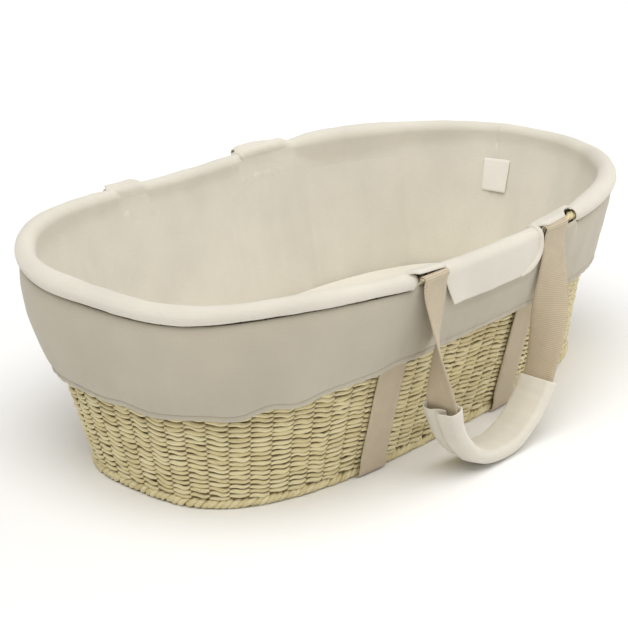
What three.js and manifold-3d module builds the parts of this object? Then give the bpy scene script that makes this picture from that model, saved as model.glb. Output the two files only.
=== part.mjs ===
// Moses basket: a woven oval carrying basket with a fabric liner, an outer skirt,
// two webbing handles with padded grips, and a thin mattress.
// Millimetres. +X runs to the head end, +Z up, the near side is -Y. The origin is on the
// floor under the middle of the rim.

import * as THREE from 'three';
import { mergeVertices } from 'three/addons/utils/BufferGeometryUtils.js';
import Module from 'manifold-3d';

const wasm = await Module();
wasm.setup();

// ---- Driving dimensions --------------------------------------------------------------

// The rim and base outlines are super-ellipses, each end with a fullness (exponent) of its own.
const RIM = { halfLength: 410, halfWidth: 231.5, headFullness: 2.36, footFullness: 3.22, middleX: 0 };
const BASE = { halfLength: 356, halfWidth: 164.7, headFullness: 3.36, footFullness: 3.05, middleX: -2.5 };

const RIM_HEIGHT = 244;              // height of the rim's core at the two ends
const FOOT_SWELL = 13;               // how far the rim rises half way to the foot end
const HEM_HEIGHT = 151;              // height of the skirt's hem at its highest
const HEM_DROP = 33;                 // how far the hem sinks towards the ends
const HEM_HIGHEST_X = 30;
const HEM_HALF_LENGTH = 425;         // from its highest place to the foot end

const WALL_THICKNESS = 8;            // woven wall
const RIM_FLARE = 4;                 // outer face of the wall outside the rim's core line
const WALL_FOOT_HEIGHT = 13.6;       // the woven wall starts above the foot border
const WALL_TOP_DROP = 7.6;           // and ends below the rim border
const BORDER_RADIUS = 6;
const BORDER_CORE_RADIUS = 2.5;
const HOOP_RADIUS = 2;
const FOOT_BORDER_HEIGHT = 13;
const FOOT_BORDER_BULGE = 3;
const FOOT_BORDER_DEPTH = 9;
const BASE_UNDERSIDE = 3.2;
const BASE_TOP = 10.2;

const WADDING = { inner: 6.5, outer: 8.8, insideEnd: 215, outsideEnd: -30 };
const COVER = { inner: 9.2, outer: 10.8, insideEnd: 215, outsideEnd: -48 };
const FACING = { inner: 6.6, outer: 9.0, insideEnd: 215, outsideEnd: 94 };
const FACING_END_GAP = 1;

const LINER_GAP = 1;
const LINER_THICKNESS = 3;
const LINER_FOOT_HEIGHT = 13.4;
const LINER_TOP_DROP = 8;
const LINER_FLOOR = [10.8, 12.4];

const SKIRT_THICKNESS = 1.6;
const SKIRT_TOP_DROP = 10;
const HEM_TALL = 13;
const HEM_PLY = 1.5;
const HEM_POCKET = 2.4;
const HEM_INNER_OFFSET = 4.6;
const ELASTIC_THICKNESS = 1.4;

const WEBBING_WIDTH = 42;
const WEBBING_THICKNESS = 2;
const FOOT_STRAP_X = -153;           // centre lines of the webbing bands under the basket
const HEAD_STRAP_X = 96;
const FOOT_STRAP_LEAN = 11;          // how far each band moves along X up the wall
const HEAD_STRAP_LEAN = -7;
const FOOT_STRAP_BOW = -15;          // how far each band swings out of line two thirds of the way up
const HEAD_STRAP_BOW = -5;
const BOW_FACTOR = 27 / 4;           // brings a bow to its full size there
const STRAP_FLOOR_GAP = 0.3;
const STRAP_NOTCH_PLAY = 3;          // how much wider than the band its notch is
const STRAP_WALL_GAP = 1.2;
const STRAP_BORDER_GAP = 1.4;
const STRAP_WALL_HEIGHTS = [24, 80, 150];
const STRAP_TOP_DROP = 4;            // the band ends this far below the rim's core

const HANDLE_AXIS_Y = 243;           // swing line of each handle, just outside the rim
const HANDLE_ROOT_DROP = 4;          // the handle's ends lie this far below its swing line
const HANDLE_AXIS_Z = 253;
const OPENINGS = { footStart: -168, footEnd: -116, headStart: 60, headEnd: 141 };

const MATTRESS_BOTTOM = 13.4;
const MATTRESS_TOP = 69;
const MATTRESS_GAP = 2.5;            // between the mattress and the liner
const MATTRESS_COVER = 1.4;
const PIPING_RADIUS = 1.4;

const LABEL_WIDTH = 38;
const LABEL_TALL = 42;
const LABEL_THICKNESS = 0.8;
const LABEL_TURN = 0.24;             // where it sits round the head end
const LABEL_BOTTOM = 168;
const LABEL_STAND = 3.4;             // keeps the flat label clear of the curved liner

const RING_STATIONS = 48;

// ---- Materials -----------------------------------------------------------------------

function cloth(colour, roughness = 0.95) {
  return new THREE.MeshStandardMaterial({ color: colour, roughness, metalness: 0 });
}

const STRAW = cloth(0xcdbb8a, 0.8);
const DARK_STRAW = cloth(0xbfa974, 0.8);
const STEEL = new THREE.MeshStandardMaterial({ color: 0x9a9a98, roughness: 0.4, metalness: 1 });
const JERSEY = cloth(0xe6dfce);
const SKIRT_CLOTH = cloth(0xd8d0bd);
const WADDING_WHITE = cloth(0xf4f2ec);
const WEBBING = cloth(0xcfc2a5);
const ELASTIC = cloth(0xefece4, 0.7);
const FOAM = cloth(0xf2ead0);
const TAPE = cloth(0xe9e4d6, 0.6);
const LABEL = cloth(0xf6f2ea);

// ---- Outlines ------------------------------------------------------------------------

// A point of an oval at the parameter `turn`: 0 is the head end, a quarter turn the far side.
function ovalPoint(oval, turn) {
  const along = Math.cos(turn);
  const across = Math.sin(turn);
  const fullness = along > 0 ? oval.headFullness : oval.footFullness;
  const reach = (Math.abs(along) ** fullness + Math.abs(across) ** fullness) ** (-1 / fullness);
  return new THREE.Vector2(
    oval.middleX + oval.halfLength * reach * along,
    oval.halfWidth * reach * across,
  );
}

// The outward direction, square to a plan curve.
function planNormal(curve, turn) {
  const step = 1e-4;
  const tangent = curve(turn + step).sub(curve(turn - step)).normalize();
  return new THREE.Vector2(tangent.y, -tangent.x);
}

const rimCurve = (turn) => ovalPoint(RIM, turn);
const baseCurve = (turn) => ovalPoint(BASE, turn);

function wallTopCurve(turn) {
  return rimCurve(turn).addScaledVector(planNormal(rimCurve, turn), RIM_FLARE);
}

// Height of the rim's core line: level at the ends, a little higher towards the foot end.
function rimHeight(x) {
  const share = x / RIM.halfLength;
  const hump = 4 * (share ** 2 - share ** 4);
  return RIM_HEIGHT + FOOT_SWELL * hump * (0.5 - 0.75 * share);
}

// A point in the cross-section of the rim: `out` and `up` are counted from its core line.
function rimPoint(turn, out, up) {
  const core = rimCurve(turn);
  const place = core.clone().addScaledVector(planNormal(rimCurve, turn), out);
  return new THREE.Vector3(place.x, place.y, rimHeight(core.x) + up);
}

// A point of the wall: `share` is 0 on the floor and 1 at the rim, and `out` is counted
// from the outer face of the woven wall.
function wallPoint(turn, share, out) {
  const curve = (t) => baseCurve(t).lerp(wallTopCurve(t), share);
  const place = curve(turn).addScaledVector(planNormal(curve, turn), out);
  return new THREE.Vector3(place.x, place.y, share * rimHeight(rimCurve(turn).x));
}

function wallPointAtHeight(turn, height, out) {
  return wallPoint(turn, height / rimHeight(rimCurve(turn).x), out);
}

// A point near the floor, counted from the base's own outline.
function basePoint(turn, height, out) {
  return wallPoint(turn, 0, out).setZ(height);
}

function hemHeight(turn) {
  const x = rimCurve(turn).x;
  return HEM_HEIGHT - HEM_DROP * ((x - HEM_HIGHEST_X) / HEM_HALF_LENGTH) ** 2;
}

// The turn on the far side (0 to half a turn) where a plan curve reaches the given x.
function turnAtX(curve, x) {
  let low = 0;
  let high = Math.PI;
  for (let i = 0; i < 50; i += 1) {
    const middle = (low + high) / 2;
    if (curve(middle).x > x) low = middle;
    else high = middle;
  }
  return (low + high) / 2;
}

// Every ring is cut at the same stations, so that the flat facets of neighbours run parallel.
const WHOLE_TURN = 2 * Math.PI;
const openingTurns = Object.values(OPENINGS).map((x) => turnAtX(rimCurve, x));
const stations = [];
for (let i = 0; i < RING_STATIONS; i += 1) stations.push((WHOLE_TURN * i) / RING_STATIONS);
for (const turn of openingTurns) {
  const gap = stations.map((station) => Math.abs(station - turn));
  const nearest = gap.indexOf(Math.min(...gap));
  stations[nearest] = turn;
  stations[RING_STATIONS - nearest] = WHOLE_TURN - turn;
}
stations.sort((a, b) => a - b);

// ---- Mesh building -------------------------------------------------------------------

function closedBody(points, faces) {
  let volume = 0;
  for (const [a, b, c] of faces) volume += points[a].dot(points[b].clone().cross(points[c]));
  const geometry = new THREE.BufferGeometry();
  geometry.setAttribute('position',
    new THREE.Float32BufferAttribute(points.flatMap((p) => p.toArray()), 3));
  geometry.setIndex(faces.flatMap(([a, b, c]) => (volume < 0 ? [a, c, b] : [a, b, c])));
  return geometry;
}

// Joins sections, each a ring of points, into one body. Every four-sided face is split along
// the diagonal that climbs to the next section, so that neighbouring shells bend alike. An
// open run gets its two ends capped with the triangles of the flat outline.
function joinSections(sections, isLoop, outline) {
  const size = sections[0].length;
  const points = sections.flat();
  const faces = [];
  const runs = isLoop ? sections.length : sections.length - 1;
  for (let i = 0; i < runs; i += 1) {
    const here = i * size;
    const next = ((i + 1) % sections.length) * size;
    for (let j = 0; j < size; j += 1) {
      const k = (j + 1) % size;
      if (points[here + k].z >= points[here + j].z) {
        faces.push([here + j, next + j, next + k], [here + j, next + k, here + k]);
      } else {
        faces.push([here + j, next + j, here + k], [next + j, next + k, here + k]);
      }
    }
  }
  if (!isLoop) {
    const last = (sections.length - 1) * size;
    for (const [a, b, c] of capTriangles(outline)) {
      faces.push([a, b, c], [last + a, last + c, last + b]);
    }
  }
  return closedBody(points, faces);
}

// The triangles of a flat outline, turned the same way round as the outline itself.
function capTriangles(outline) {
  const flat = outline.map(([x, y]) => new THREE.Vector2(x, y));
  const outlineSign = Math.sign(THREE.ShapeUtils.area(flat));
  return THREE.ShapeUtils.triangulateShape(flat, []).map(([a, b, c]) => {
    const sign = Math.sign(THREE.ShapeUtils.area([flat[a], flat[b], flat[c]]));
    return sign === outlineSign ? [a, b, c] : [a, c, b];
  });
}

// A ring right round the basket, from a section given for each station.
function ring(sectionAt) {
  return joinSections(stations.map(sectionAt), true);
}

// Stacked outlines closed with a flat floor and a flat top: a disc or a mattress.
function slab(levels) {
  const size = levels[0].length;
  const points = levels.flat();
  const faces = [];
  for (let i = 0; i < levels.length - 1; i += 1) {
    for (let j = 0; j < size; j += 1) {
      const k = (j + 1) % size;
      const here = i * size;
      const next = here + size;
      faces.push([here + j, here + k, next + k], [here + j, next + k, next + j]);
    }
  }
  const floorCentre = points.length;
  points.push(centreOf(levels[0]), centreOf(levels[levels.length - 1]));
  const top = (levels.length - 1) * size;
  for (let j = 0; j < size; j += 1) {
    const k = (j + 1) % size;
    faces.push([floorCentre, k, j], [floorCentre + 1, top + j, top + k]);
  }
  return closedBody(points, faces);
}

function centreOf(points) {
  const sum = points.reduce((total, p) => total.add(p), new THREE.Vector3());
  return sum.divideScalar(points.length);
}

// A C-shaped outline between two radii, from one angle round to the other, in degrees. The
// inner side's flats, not its corners, touch the inner radius, so what it holds stays clear.
function arcOutline(arc, outerSteps, innerSteps = outerSteps) {
  const stepAngle = THREE.MathUtils.degToRad(Math.abs(arc.insideEnd - arc.outsideEnd) / innerSteps);
  const innerRadius = arc.inner / Math.cos(stepAngle / 2);
  const outline = [];
  for (let i = 0; i <= outerSteps; i += 1) {
    outline.push(polar(arc.outer, arc.insideEnd, arc.outsideEnd, i / outerSteps));
  }
  for (let i = innerSteps; i >= 0; i -= 1) {
    outline.push(polar(innerRadius, arc.insideEnd, arc.outsideEnd, i / innerSteps));
  }
  return outline;
}

function polar(radius, startDegrees, endDegrees, share) {
  const angle = THREE.MathUtils.degToRad(THREE.MathUtils.lerp(startDegrees, endDegrees, share));
  return [radius * Math.cos(angle), radius * Math.sin(angle)];
}

function circleOutline(radius, sides) {
  const outline = [];
  for (let i = 0; i < sides; i += 1) outline.push(polar(radius, 0, 360, i / sides));
  return outline;
}

// The same outline swept round the rim, or along a part of it.
function rimRing(outline) {
  return ring((turn) => outline.map(([out, up]) => rimPoint(turn, out, up)));
}

function rimArc(outline, turns) {
  const sections = turns.map((turn) => outline.map(([out, up]) => rimPoint(turn, out, up)));
  return joinSections(sections, false, outline);
}

// Stations from one turn to another, with both ends included exactly.
function turnsBetween(start, end) {
  const inside = [];
  for (const turn of stations) {
    for (const whole of [turn - WHOLE_TURN, turn, turn + WHOLE_TURN]) {
      if (whole > start + 1e-4 && whole < end - 1e-4) inside.push(whole);
    }
  }
  return [start, ...inside.sort((a, b) => a - b), end];
}

function part(name, geometry, material) {
  const mesh = new THREE.Mesh(geometry, material);
  mesh.name = name;
  return mesh;
}

// ---- Booleans ------------------------------------------------------------------------

function toSolid(geometry) {
  const bare = geometry.index ? geometry.clone() : geometry;
  bare.deleteAttribute('normal');
  bare.deleteAttribute('uv');
  const merged = mergeVertices(bare, 1e-4);
  return new wasm.Manifold(new wasm.Mesh({
    numProp: 3,
    vertProperties: Float32Array.from(merged.attributes.position.array),
    triVerts: Uint32Array.from(merged.index.array),
  }));
}

function toGeometry(solid) {
  const mesh = solid.getMesh();
  const geometry = new THREE.BufferGeometry();
  geometry.setAttribute('position', new THREE.BufferAttribute(new Float32Array(mesh.vertProperties), 3));
  geometry.setIndex(new THREE.BufferAttribute(new Uint32Array(mesh.triVerts), 1));
  return geometry;
}

// ---- Woven shell ---------------------------------------------------------------------

function wovenWall() {
  return ring((turn) => {
    const top = rimHeight(rimCurve(turn).x) - WALL_TOP_DROP;
    const heights = [WALL_FOOT_HEIGHT, top / 2, top];
    const outer = heights.map((height) => wallPointAtHeight(turn, height, 0));
    const inner = heights.map((height) => wallPointAtHeight(turn, height, -WALL_THICKNESS));
    return [...outer, ...inner.reverse()];
  });
}

function wovenBase() {
  const inset = -(FOOT_BORDER_DEPTH + 1);
  const level = (height) => stations.map((turn) => basePoint(turn, height, inset));
  return slab([level(BASE_UNDERSIDE), level(BASE_TOP)]);
}

// The plaited border that the basket stands on. It is notched where the webbing passes under.
function footBorder() {
  const bulge = FOOT_BORDER_BULGE;
  const outline = [
    [-FOOT_BORDER_DEPTH, 0.4], [-FOOT_BORDER_DEPTH + 1, 0], [0, 0],
    [bulge, FOOT_BORDER_HEIGHT * 0.4], [bulge * 0.6, FOOT_BORDER_HEIGHT * 0.85],
    [-1, FOOT_BORDER_HEIGHT], [-FOOT_BORDER_DEPTH, FOOT_BORDER_HEIGHT],
  ];
  const wholeRing = ring((turn) => outline.map(([out, height]) => basePoint(turn, height, out)));
  const notchWidth = WEBBING_WIDTH + STRAP_NOTCH_PLAY;
  let solid = toSolid(wholeRing);
  for (const x of [FOOT_STRAP_X, HEAD_STRAP_X]) {
    const notch = new THREE.BoxGeometry(notchWidth, 2 * RIM.halfWidth, 2 * BASE_UNDERSIDE);
    notch.translate(x, 0, 0);
    solid = solid.subtract(toSolid(notch));
  }
  return toGeometry(solid);
}

// The rim border wraps the steel hoop and is open underneath.
function rimBorder() {
  const wrap = { inner: BORDER_CORE_RADIUS, outer: BORDER_RADIUS, insideEnd: 250, outsideEnd: -70 };
  return rimRing(arcOutline(wrap, 8, 4));
}

function wovenShell() {
  const shell = new THREE.Group();
  shell.add(
    part('woven_wall', wovenWall(), STRAW),
    part('woven_base', wovenBase(), STRAW),
    part('foot_border', footBorder(), DARK_STRAW),
    part('rim_border', rimBorder(), DARK_STRAW),
    part('rim_hoop', rimRing(circleOutline(HOOP_RADIUS, 5)), STEEL),
  );
  return shell;
}

// ---- Liner and skirt -----------------------------------------------------------------

const LINER_OUTER = -(WALL_THICKNESS + LINER_GAP);
const LINER_INNER = LINER_OUTER - LINER_THICKNESS;

function linerWall() {
  return ring((turn) => {
    const top = rimHeight(rimCurve(turn).x) - LINER_TOP_DROP;
    const heights = [LINER_FOOT_HEIGHT, top / 2, top];
    const outer = heights.map((height) => wallPointAtHeight(turn, height, LINER_OUTER));
    const inner = heights.map((height) => wallPointAtHeight(turn, height, LINER_INNER));
    return [...outer, ...inner.reverse()];
  });
}

function linerFloor() {
  const level = (height) => stations.map((turn) => basePoint(turn, height, LINER_OUTER - 1));
  return slab(LINER_FLOOR.map(level));
}

// Outward offsets of the skirt's outer face, from the roll at the rim down to the hem.
const SKIRT_PROFILE = [[1, 6.5], [0.8, 10.5], [0.5, 13], [0.2, 10.5], [0, 8.6]];

function outerSkirt() {
  return ring((turn) => {
    const top = rimHeight(rimCurve(turn).x) - SKIRT_TOP_DROP;
    const bottom = hemHeight(turn) + HEM_TALL + 0.5;
    const place = (share, out) => wallPointAtHeight(turn, bottom + (top - bottom) * share, out);
    const outer = SKIRT_PROFILE.map(([share, out]) => place(share, out));
    const inner = SKIRT_PROFILE.map(([share, out]) => place(share, out - SKIRT_THICKNESS));
    return [...outer, ...inner.reverse()];
  });
}

// The hem is a folded pocket, open at the top, with the elastic lying inside it.
function skirtHem() {
  const outerFace = HEM_INNER_OFFSET + 2 * HEM_PLY + HEM_POCKET;
  const outline = [
    [HEM_INNER_OFFSET, 0], [outerFace, 0], [outerFace, HEM_TALL], [outerFace - HEM_PLY, HEM_TALL],
    [outerFace - HEM_PLY, HEM_PLY], [HEM_INNER_OFFSET + HEM_PLY, HEM_PLY],
    [HEM_INNER_OFFSET + HEM_PLY, HEM_TALL], [HEM_INNER_OFFSET, HEM_TALL],
  ];
  return ring((turn) => outline.map(([out, up]) => wallPointAtHeight(turn, hemHeight(turn) + up, out)));
}

function hemElastic() {
  const middle = HEM_INNER_OFFSET + HEM_PLY + HEM_POCKET / 2;
  const half = ELASTIC_THICKNESS / 2;
  const bottom = HEM_PLY + 0.6;
  const top = HEM_TALL - 2.5;
  const outline = [
    [middle - half, bottom], [middle + half, bottom], [middle + half, top], [middle - half, top],
  ];
  return ring((turn) => outline.map(([out, up]) => wallPointAtHeight(turn, hemHeight(turn) + up, out)));
}

// The padded roll covers the rim round each end, from one side's opening to the other's.
function endRoll(arc, steps, isHead) {
  const outline = arcOutline(arc, steps);
  const [footStart, , , headEnd] = openingTurns;
  const turns = isHead ? turnsBetween(-headEnd, headEnd) : turnsBetween(footStart, WHOLE_TURN - footStart);
  return rimArc(outline, turns);
}

// Between the two rolls the liner comes up over the inner half of the rim only.
function sideFacing(isNear) {
  const start = turnAtX(rimCurve, OPENINGS.headEnd - FACING_END_GAP);
  const end = turnAtX(rimCurve, OPENINGS.footStart + FACING_END_GAP);
  const turns = isNear ? turnsBetween(WHOLE_TURN - end, WHOLE_TURN - start) : turnsBetween(start, end);
  return rimArc(arcOutline(FACING, 4), turns);
}

// A folded label sewn into the seam at the head end, standing a little proud of the liner.
function careLabel() {
  const low = wallPointAtHeight(LABEL_TURN, LABEL_BOTTOM, LINER_INNER - LABEL_STAND);
  const high = wallPointAtHeight(LABEL_TURN, LABEL_BOTTOM + LABEL_TALL, LINER_INNER - LABEL_STAND);
  const normal = planNormal(rimCurve, LABEL_TURN);
  const up = high.clone().sub(low).normalize();
  const side = new THREE.Vector3(-normal.y, normal.x, 0);
  const facing = side.clone().cross(up).normalize();
  const centre = low.clone().add(high).multiplyScalar(0.5);
  const label = new THREE.BoxGeometry(LABEL_WIDTH, LABEL_TALL, LABEL_THICKNESS);
  label.applyMatrix4(new THREE.Matrix4().makeBasis(side, up, facing).setPosition(centre));
  label.deleteAttribute('normal');
  label.deleteAttribute('uv');
  return mergeVertices(label);
}

function linerAndSkirt() {
  const liner = new THREE.Group();
  liner.add(
    part('liner_wall', linerWall(), JERSEY),
    part('liner_floor', linerFloor(), JERSEY),
    part('foot_rim_wadding', endRoll(WADDING, 4, false), WADDING_WHITE),
    part('head_rim_wadding', endRoll(WADDING, 4, true), WADDING_WHITE),
    part('foot_rim_cover', endRoll(COVER, 6, false), JERSEY),
    part('head_rim_cover', endRoll(COVER, 6, true), JERSEY),
    part('near_rim_facing', sideFacing(true), JERSEY),
    part('far_rim_facing', sideFacing(false), JERSEY),
    part('outer_skirt', outerSkirt(), SKIRT_CLOTH),
    part('skirt_hem', skirtHem(), SKIRT_CLOTH),
    part('hem_elastic', hemElastic(), ELASTIC),
    part('care_label', careLabel(), LABEL),
  );
  return liner;
}

// ---- Webbing bands under the basket --------------------------------------------------

// One side of a band, from the middle of the base out and up to just below the opening. Each
// place is [x, y, z, slope], where the slope is how the wall runs there in plan.
function bandSide(x, lean, bow) {
  const baseTurn = turnAtX(baseCurve, x);
  const baseSlope = planSlope(baseCurve, baseTurn);
  const corner = baseCurve(baseTurn).y;
  const stand = FOOT_BORDER_BULGE + STRAP_BORDER_GAP + WEBBING_THICKNESS / 2;
  const under = STRAP_FLOOR_GAP + WEBBING_THICKNESS / 2;
  const path = [
    [x, 0, under, 0], [x, corner - 12, under, 0], [x, corner + 2, under + 0.7, baseSlope],
    [x, corner + stand, FOOT_BORDER_HEIGHT / 2, baseSlope],
    [x, corner + stand + 0.4, FOOT_BORDER_HEIGHT, baseSlope],
  ];
  const wallOffset = STRAP_WALL_GAP + WEBBING_THICKNESS / 2;
  const last = rimHeight(x) - STRAP_TOP_DROP;
  const heights = [...STRAP_WALL_HEIGHTS, last - 7, last];
  for (const height of heights) {
    const share = height / rimHeight(x);
    const placeX = x + lean * share + bow * BOW_FACTOR * share ** 2 * (1 - share);
    const curve = (t) => baseCurve(t).lerp(wallTopCurve(t), share);
    const turn = turnAtX(curve, placeX);
    const extra = height === last ? STRAP_BORDER_GAP : 0;
    const place = wallPointAtHeight(turn, height, wallOffset + extra);
    path.push([placeX, place.y, height, planSlope(curve, turn)]);
  }
  return path;
}

function planSlope(curve, turn) {
  const normal = planNormal(curve, turn);
  return -normal.x / normal.y;
}

function bellyStrap(x, lean, bow) {
  const farSide = bandSide(x, lean, bow);
  const nearSide = farSide.slice(1).map(([px, py, pz, slope]) => [px, -py, pz, -slope]).reverse();
  const path = [...nearSide, ...farSide];
  const points = path.map(([px, py, pz]) => new THREE.Vector3(px, py, pz));
  const outline = bandOutline();
  const sections = points.map((point, i) => {
    const before = points[Math.max(i - 1, 0)];
    const after = points[Math.min(i + 1, points.length - 1)];
    const tangent = after.clone().sub(before).setX(0).normalize();
    const width = new THREE.Vector3(1, path[i][3], 0).normalize();
    const face = width.clone().cross(tangent).normalize();
    return outline.map(([w, f]) => point.clone().addScaledVector(width, w).addScaledVector(face, f));
  });
  return joinSections(sections, false, outline);
}

function bandOutline() {
  const half = WEBBING_WIDTH / 2;
  const thin = WEBBING_THICKNESS / 2;
  return [[-half, -thin], [half, -thin], [half, thin], [-half, thin]];
}

// ---- Handles -------------------------------------------------------------------------

// The loop in its own plane, from the foot opening down to the grip and up to the head opening.
const HANDLE_ROOT_Z = HANDLE_AXIS_Z - HANDLE_ROOT_DROP;
const LOOP_POINTS = [
  [-139, HANDLE_ROOT_Z], [-134, 207], [-131, 165], [-128, 125], [-122, 88], [-106, 53], [-79, 26],
  [-45, 13.5], [-12, 12.5], [21, 24], [47, 45], [65, 71], [78, 112], [86, 160], [89.5, 205],
  [90, HANDLE_ROOT_Z],
];
const LOOP_STEPS = 44;
const GRIP_START = 0.27;             // the padded grip covers this share of the loop's length
const GRIP_END = 0.685;
const FOOT_TWIST_END = 0.25;         // the webbing is turned a quarter by here
const HEAD_TWIST_START = 0.7;

const loopCurve = new THREE.CatmullRomCurve3(
  LOOP_POINTS.map(([x, z]) => new THREE.Vector3(x, 0, z)), false, 'centripetal');

// The webbing's face looks outward at the rim and into the loop at the grip.
function quarterTwist(share) {
  if (share < FOOT_TWIST_END) return THREE.MathUtils.smoothstep(share, 0.01, FOOT_TWIST_END);
  if (share > HEAD_TWIST_START) return 1 - THREE.MathUtils.smoothstep(share, HEAD_TWIST_START, 0.99);
  return 1;
}

function loopFrame(share, side) {
  const point = loopCurve.getPointAt(share);
  point.y = side * HANDLE_AXIS_Y;
  const tangent = loopCurve.getTangentAt(share).normalize();
  const inward = new THREE.Vector3(-tangent.z, 0, tangent.x);
  const angle = (quarterTwist(share) * Math.PI) / 2;
  const face = new THREE.Vector3(0, side, 0).multiplyScalar(Math.cos(angle))
    .addScaledVector(inward, Math.sin(angle));
  const width = tangent.clone().cross(face).normalize();
  return { point, face, width };
}

function sweepLoop(outline, start, end, steps, side) {
  const sections = [];
  for (let i = 0; i <= steps; i += 1) {
    const { point, face, width } = loopFrame(start + ((end - start) * i) / steps, side);
    const place = ([w, f]) => point.clone().addScaledVector(width, w).addScaledVector(face, f);
    sections.push(outline.map(place));
  }
  return joinSections(sections, false, outline);
}

function handleWebbing(side) {
  return sweepLoop(bandOutline(), 0, 1, LOOP_STEPS, side);
}

// The grip wraps round the webbing, and its two lips overlap underneath.
function gripSleeve(side) {
  const outline = [
    [-8, -8.2], [19, -8.2], [24.5, -4], [24.5, 4], [19, 8.2], [-19, 8.2], [-24.5, 4], [-24.5, -1.5],
    [-21, -4.6], [8, -4.6], [8, -2.4], [-22, -2.4], [-22, 2.4], [22, 2.4], [22, -3.6], [19, -6.2],
    [-8, -6.2],
  ];
  return sweepLoop(outline, GRIP_START, GRIP_END, 16, side);
}

function gripFastener(side) {
  const outline = [[-6, -5.8], [6, -5.8], [6, -5.0], [-6, -5.0]];
  return sweepLoop(outline, GRIP_START + 0.02, GRIP_END - 0.02, 16, side);
}

function handle(prefix, side) {
  const group = new THREE.Group();
  group.add(
    part(`${prefix}_handle_webbing`, handleWebbing(side), WEBBING),
    part(`${prefix}_grip_sleeve`, gripSleeve(side), JERSEY),
    part(`${prefix}_grip_fastener`, gripFastener(side), TAPE),
  );
  return group;
}

// ---- Flaps between the handle openings -----------------------------------------------

const FLAP = { inner: 9.8, outer: 11.2, insideEnd: 84, outsideEnd: 0 };
const FLAP_TAIL = 36;
const FLAP_TAIL_OUT = 0.6;           // the tail's end stands this much further out
const FLAP_CLEARANCE = 3;
const FLAP_BEAD_RADIUS = 1.7;

function flapOutline() {
  const arc = arcOutline(FLAP, 3);
  const half = arc.length / 2;
  const tail = [[FLAP.outer + FLAP_TAIL_OUT, -FLAP_TAIL], [FLAP.inner + FLAP_TAIL_OUT, -FLAP_TAIL]];
  return [...arc.slice(0, half), ...tail, ...arc.slice(half)];
}

function flapTurns(isNear) {
  const start = turnAtX(rimCurve, OPENINGS.headStart - FLAP_CLEARANCE);
  const end = turnAtX(rimCurve, OPENINGS.footEnd + FLAP_CLEARANCE);
  return isNear ? turnsBetween(WHOLE_TURN - end, WHOLE_TURN - start) : turnsBetween(start, end);
}

// A sewn bead along the flap's head edge, from the fold line down to the tail.
function flapBead(isNear) {
  const side = isNear ? -1 : 1;
  const turn = side * turnAtX(rimCurve, OPENINGS.headStart);
  const middle = (FLAP.inner + FLAP.outer) / 2;
  const line = [0, 1 / 3, 2 / 3, 1].map((share) => polar(middle, FLAP.insideEnd, FLAP.outsideEnd, share));
  line.push([middle + FLAP_TAIL_OUT, -FLAP_TAIL]);
  const outline = circleOutline(FLAP_BEAD_RADIUS, 6);
  const points = line.map(([out, up]) => rimPoint(turn, out, up));
  const sections = points.map((point, i) => {
    const before = points[Math.max(i - 1, 0)];
    const after = points[Math.min(i + 1, points.length - 1)];
    const tangent = after.clone().sub(before).normalize();
    const across = new THREE.Vector3(1, 0, 0);
    const out = across.clone().cross(tangent).normalize();
    return outline.map(([a, b]) => point.clone().addScaledVector(across, a).addScaledVector(out, b));
  });
  return joinSections(sections, false, outline);
}

function flap(prefix, isNear) {
  const group = new THREE.Group();
  group.add(
    part(`${prefix}_flap`, rimArc(flapOutline(), flapTurns(isNear)), JERSEY),
    part(`${prefix}_flap_bead`, flapBead(isNear), JERSEY),
  );
  return group;
}

// ---- Mattress ------------------------------------------------------------------------

// The mattress follows the liner's inner face; `inset` is counted from its own outer face.
function mattressLevel(height, inset) {
  return stations.map((turn) => mattressPoint(turn, height, inset));
}

function mattressPoint(turn, height, inset) {
  return wallPointAtHeight(turn, height, LINER_INNER - MATTRESS_GAP - inset);
}

function mattressFoam() {
  const inset = MATTRESS_COVER + 0.6;
  const bottom = MATTRESS_BOTTOM + inset;
  const top = MATTRESS_TOP - inset;
  return slab([
    mattressLevel(bottom, inset + 3), mattressLevel(bottom + 5, inset),
    mattressLevel(top - 5, inset), mattressLevel(top, inset + 6),
  ]);
}

// Half of the cover: a shallow tray, with its rounded edge on the closed side.
function coverTray(closedHeight, openHeight, edge) {
  const direction = Math.sign(openHeight - closedHeight);
  const inner = closedHeight + direction * MATTRESS_COVER;
  const knee = closedHeight + direction * 5;
  const thick = MATTRESS_COVER;
  const levels = [
    mattressLevel(inner, thick + edge), mattressLevel(knee, thick), mattressLevel(openHeight, thick),
    mattressLevel(openHeight, 0), mattressLevel(knee, 0), mattressLevel(closedHeight, edge),
  ];
  return slab(levels);
}

function mattressPiping(height) {
  const outline = circleOutline(PIPING_RADIUS, 5);
  return ring((turn) => outline.map(([out, up]) => mattressPoint(turn, height + up, 0.2 - out)));
}

function mattress() {
  const group = new THREE.Group();
  const seam = (MATTRESS_BOTTOM + MATTRESS_TOP) / 2;
  const gap = PIPING_RADIUS + 0.4;
  group.add(
    part('mattress_foam', mattressFoam(), FOAM),
    part('mattress_cover_bottom', coverTray(MATTRESS_BOTTOM, seam - gap, 3), JERSEY),
    part('mattress_cover_top', coverTray(MATTRESS_TOP, seam + gap, 6), JERSEY),
    part('mattress_piping', mattressPiping(seam), JERSEY),
  );
  return group;
}

// ---- The whole basket ----------------------------------------------------------------

const basket = new THREE.Group();
basket.add(
  wovenShell(),
  linerAndSkirt(),
  part('foot_belly_strap', bellyStrap(FOOT_STRAP_X, FOOT_STRAP_LEAN, FOOT_STRAP_BOW), WEBBING),
  part('head_belly_strap', bellyStrap(HEAD_STRAP_X, HEAD_STRAP_LEAN, HEAD_STRAP_BOW), WEBBING),
  handle('near', -1),
  handle('far', 1),
  flap('near', true),
  flap('far', false),
  mattress(),
);

export default basket;
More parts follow.
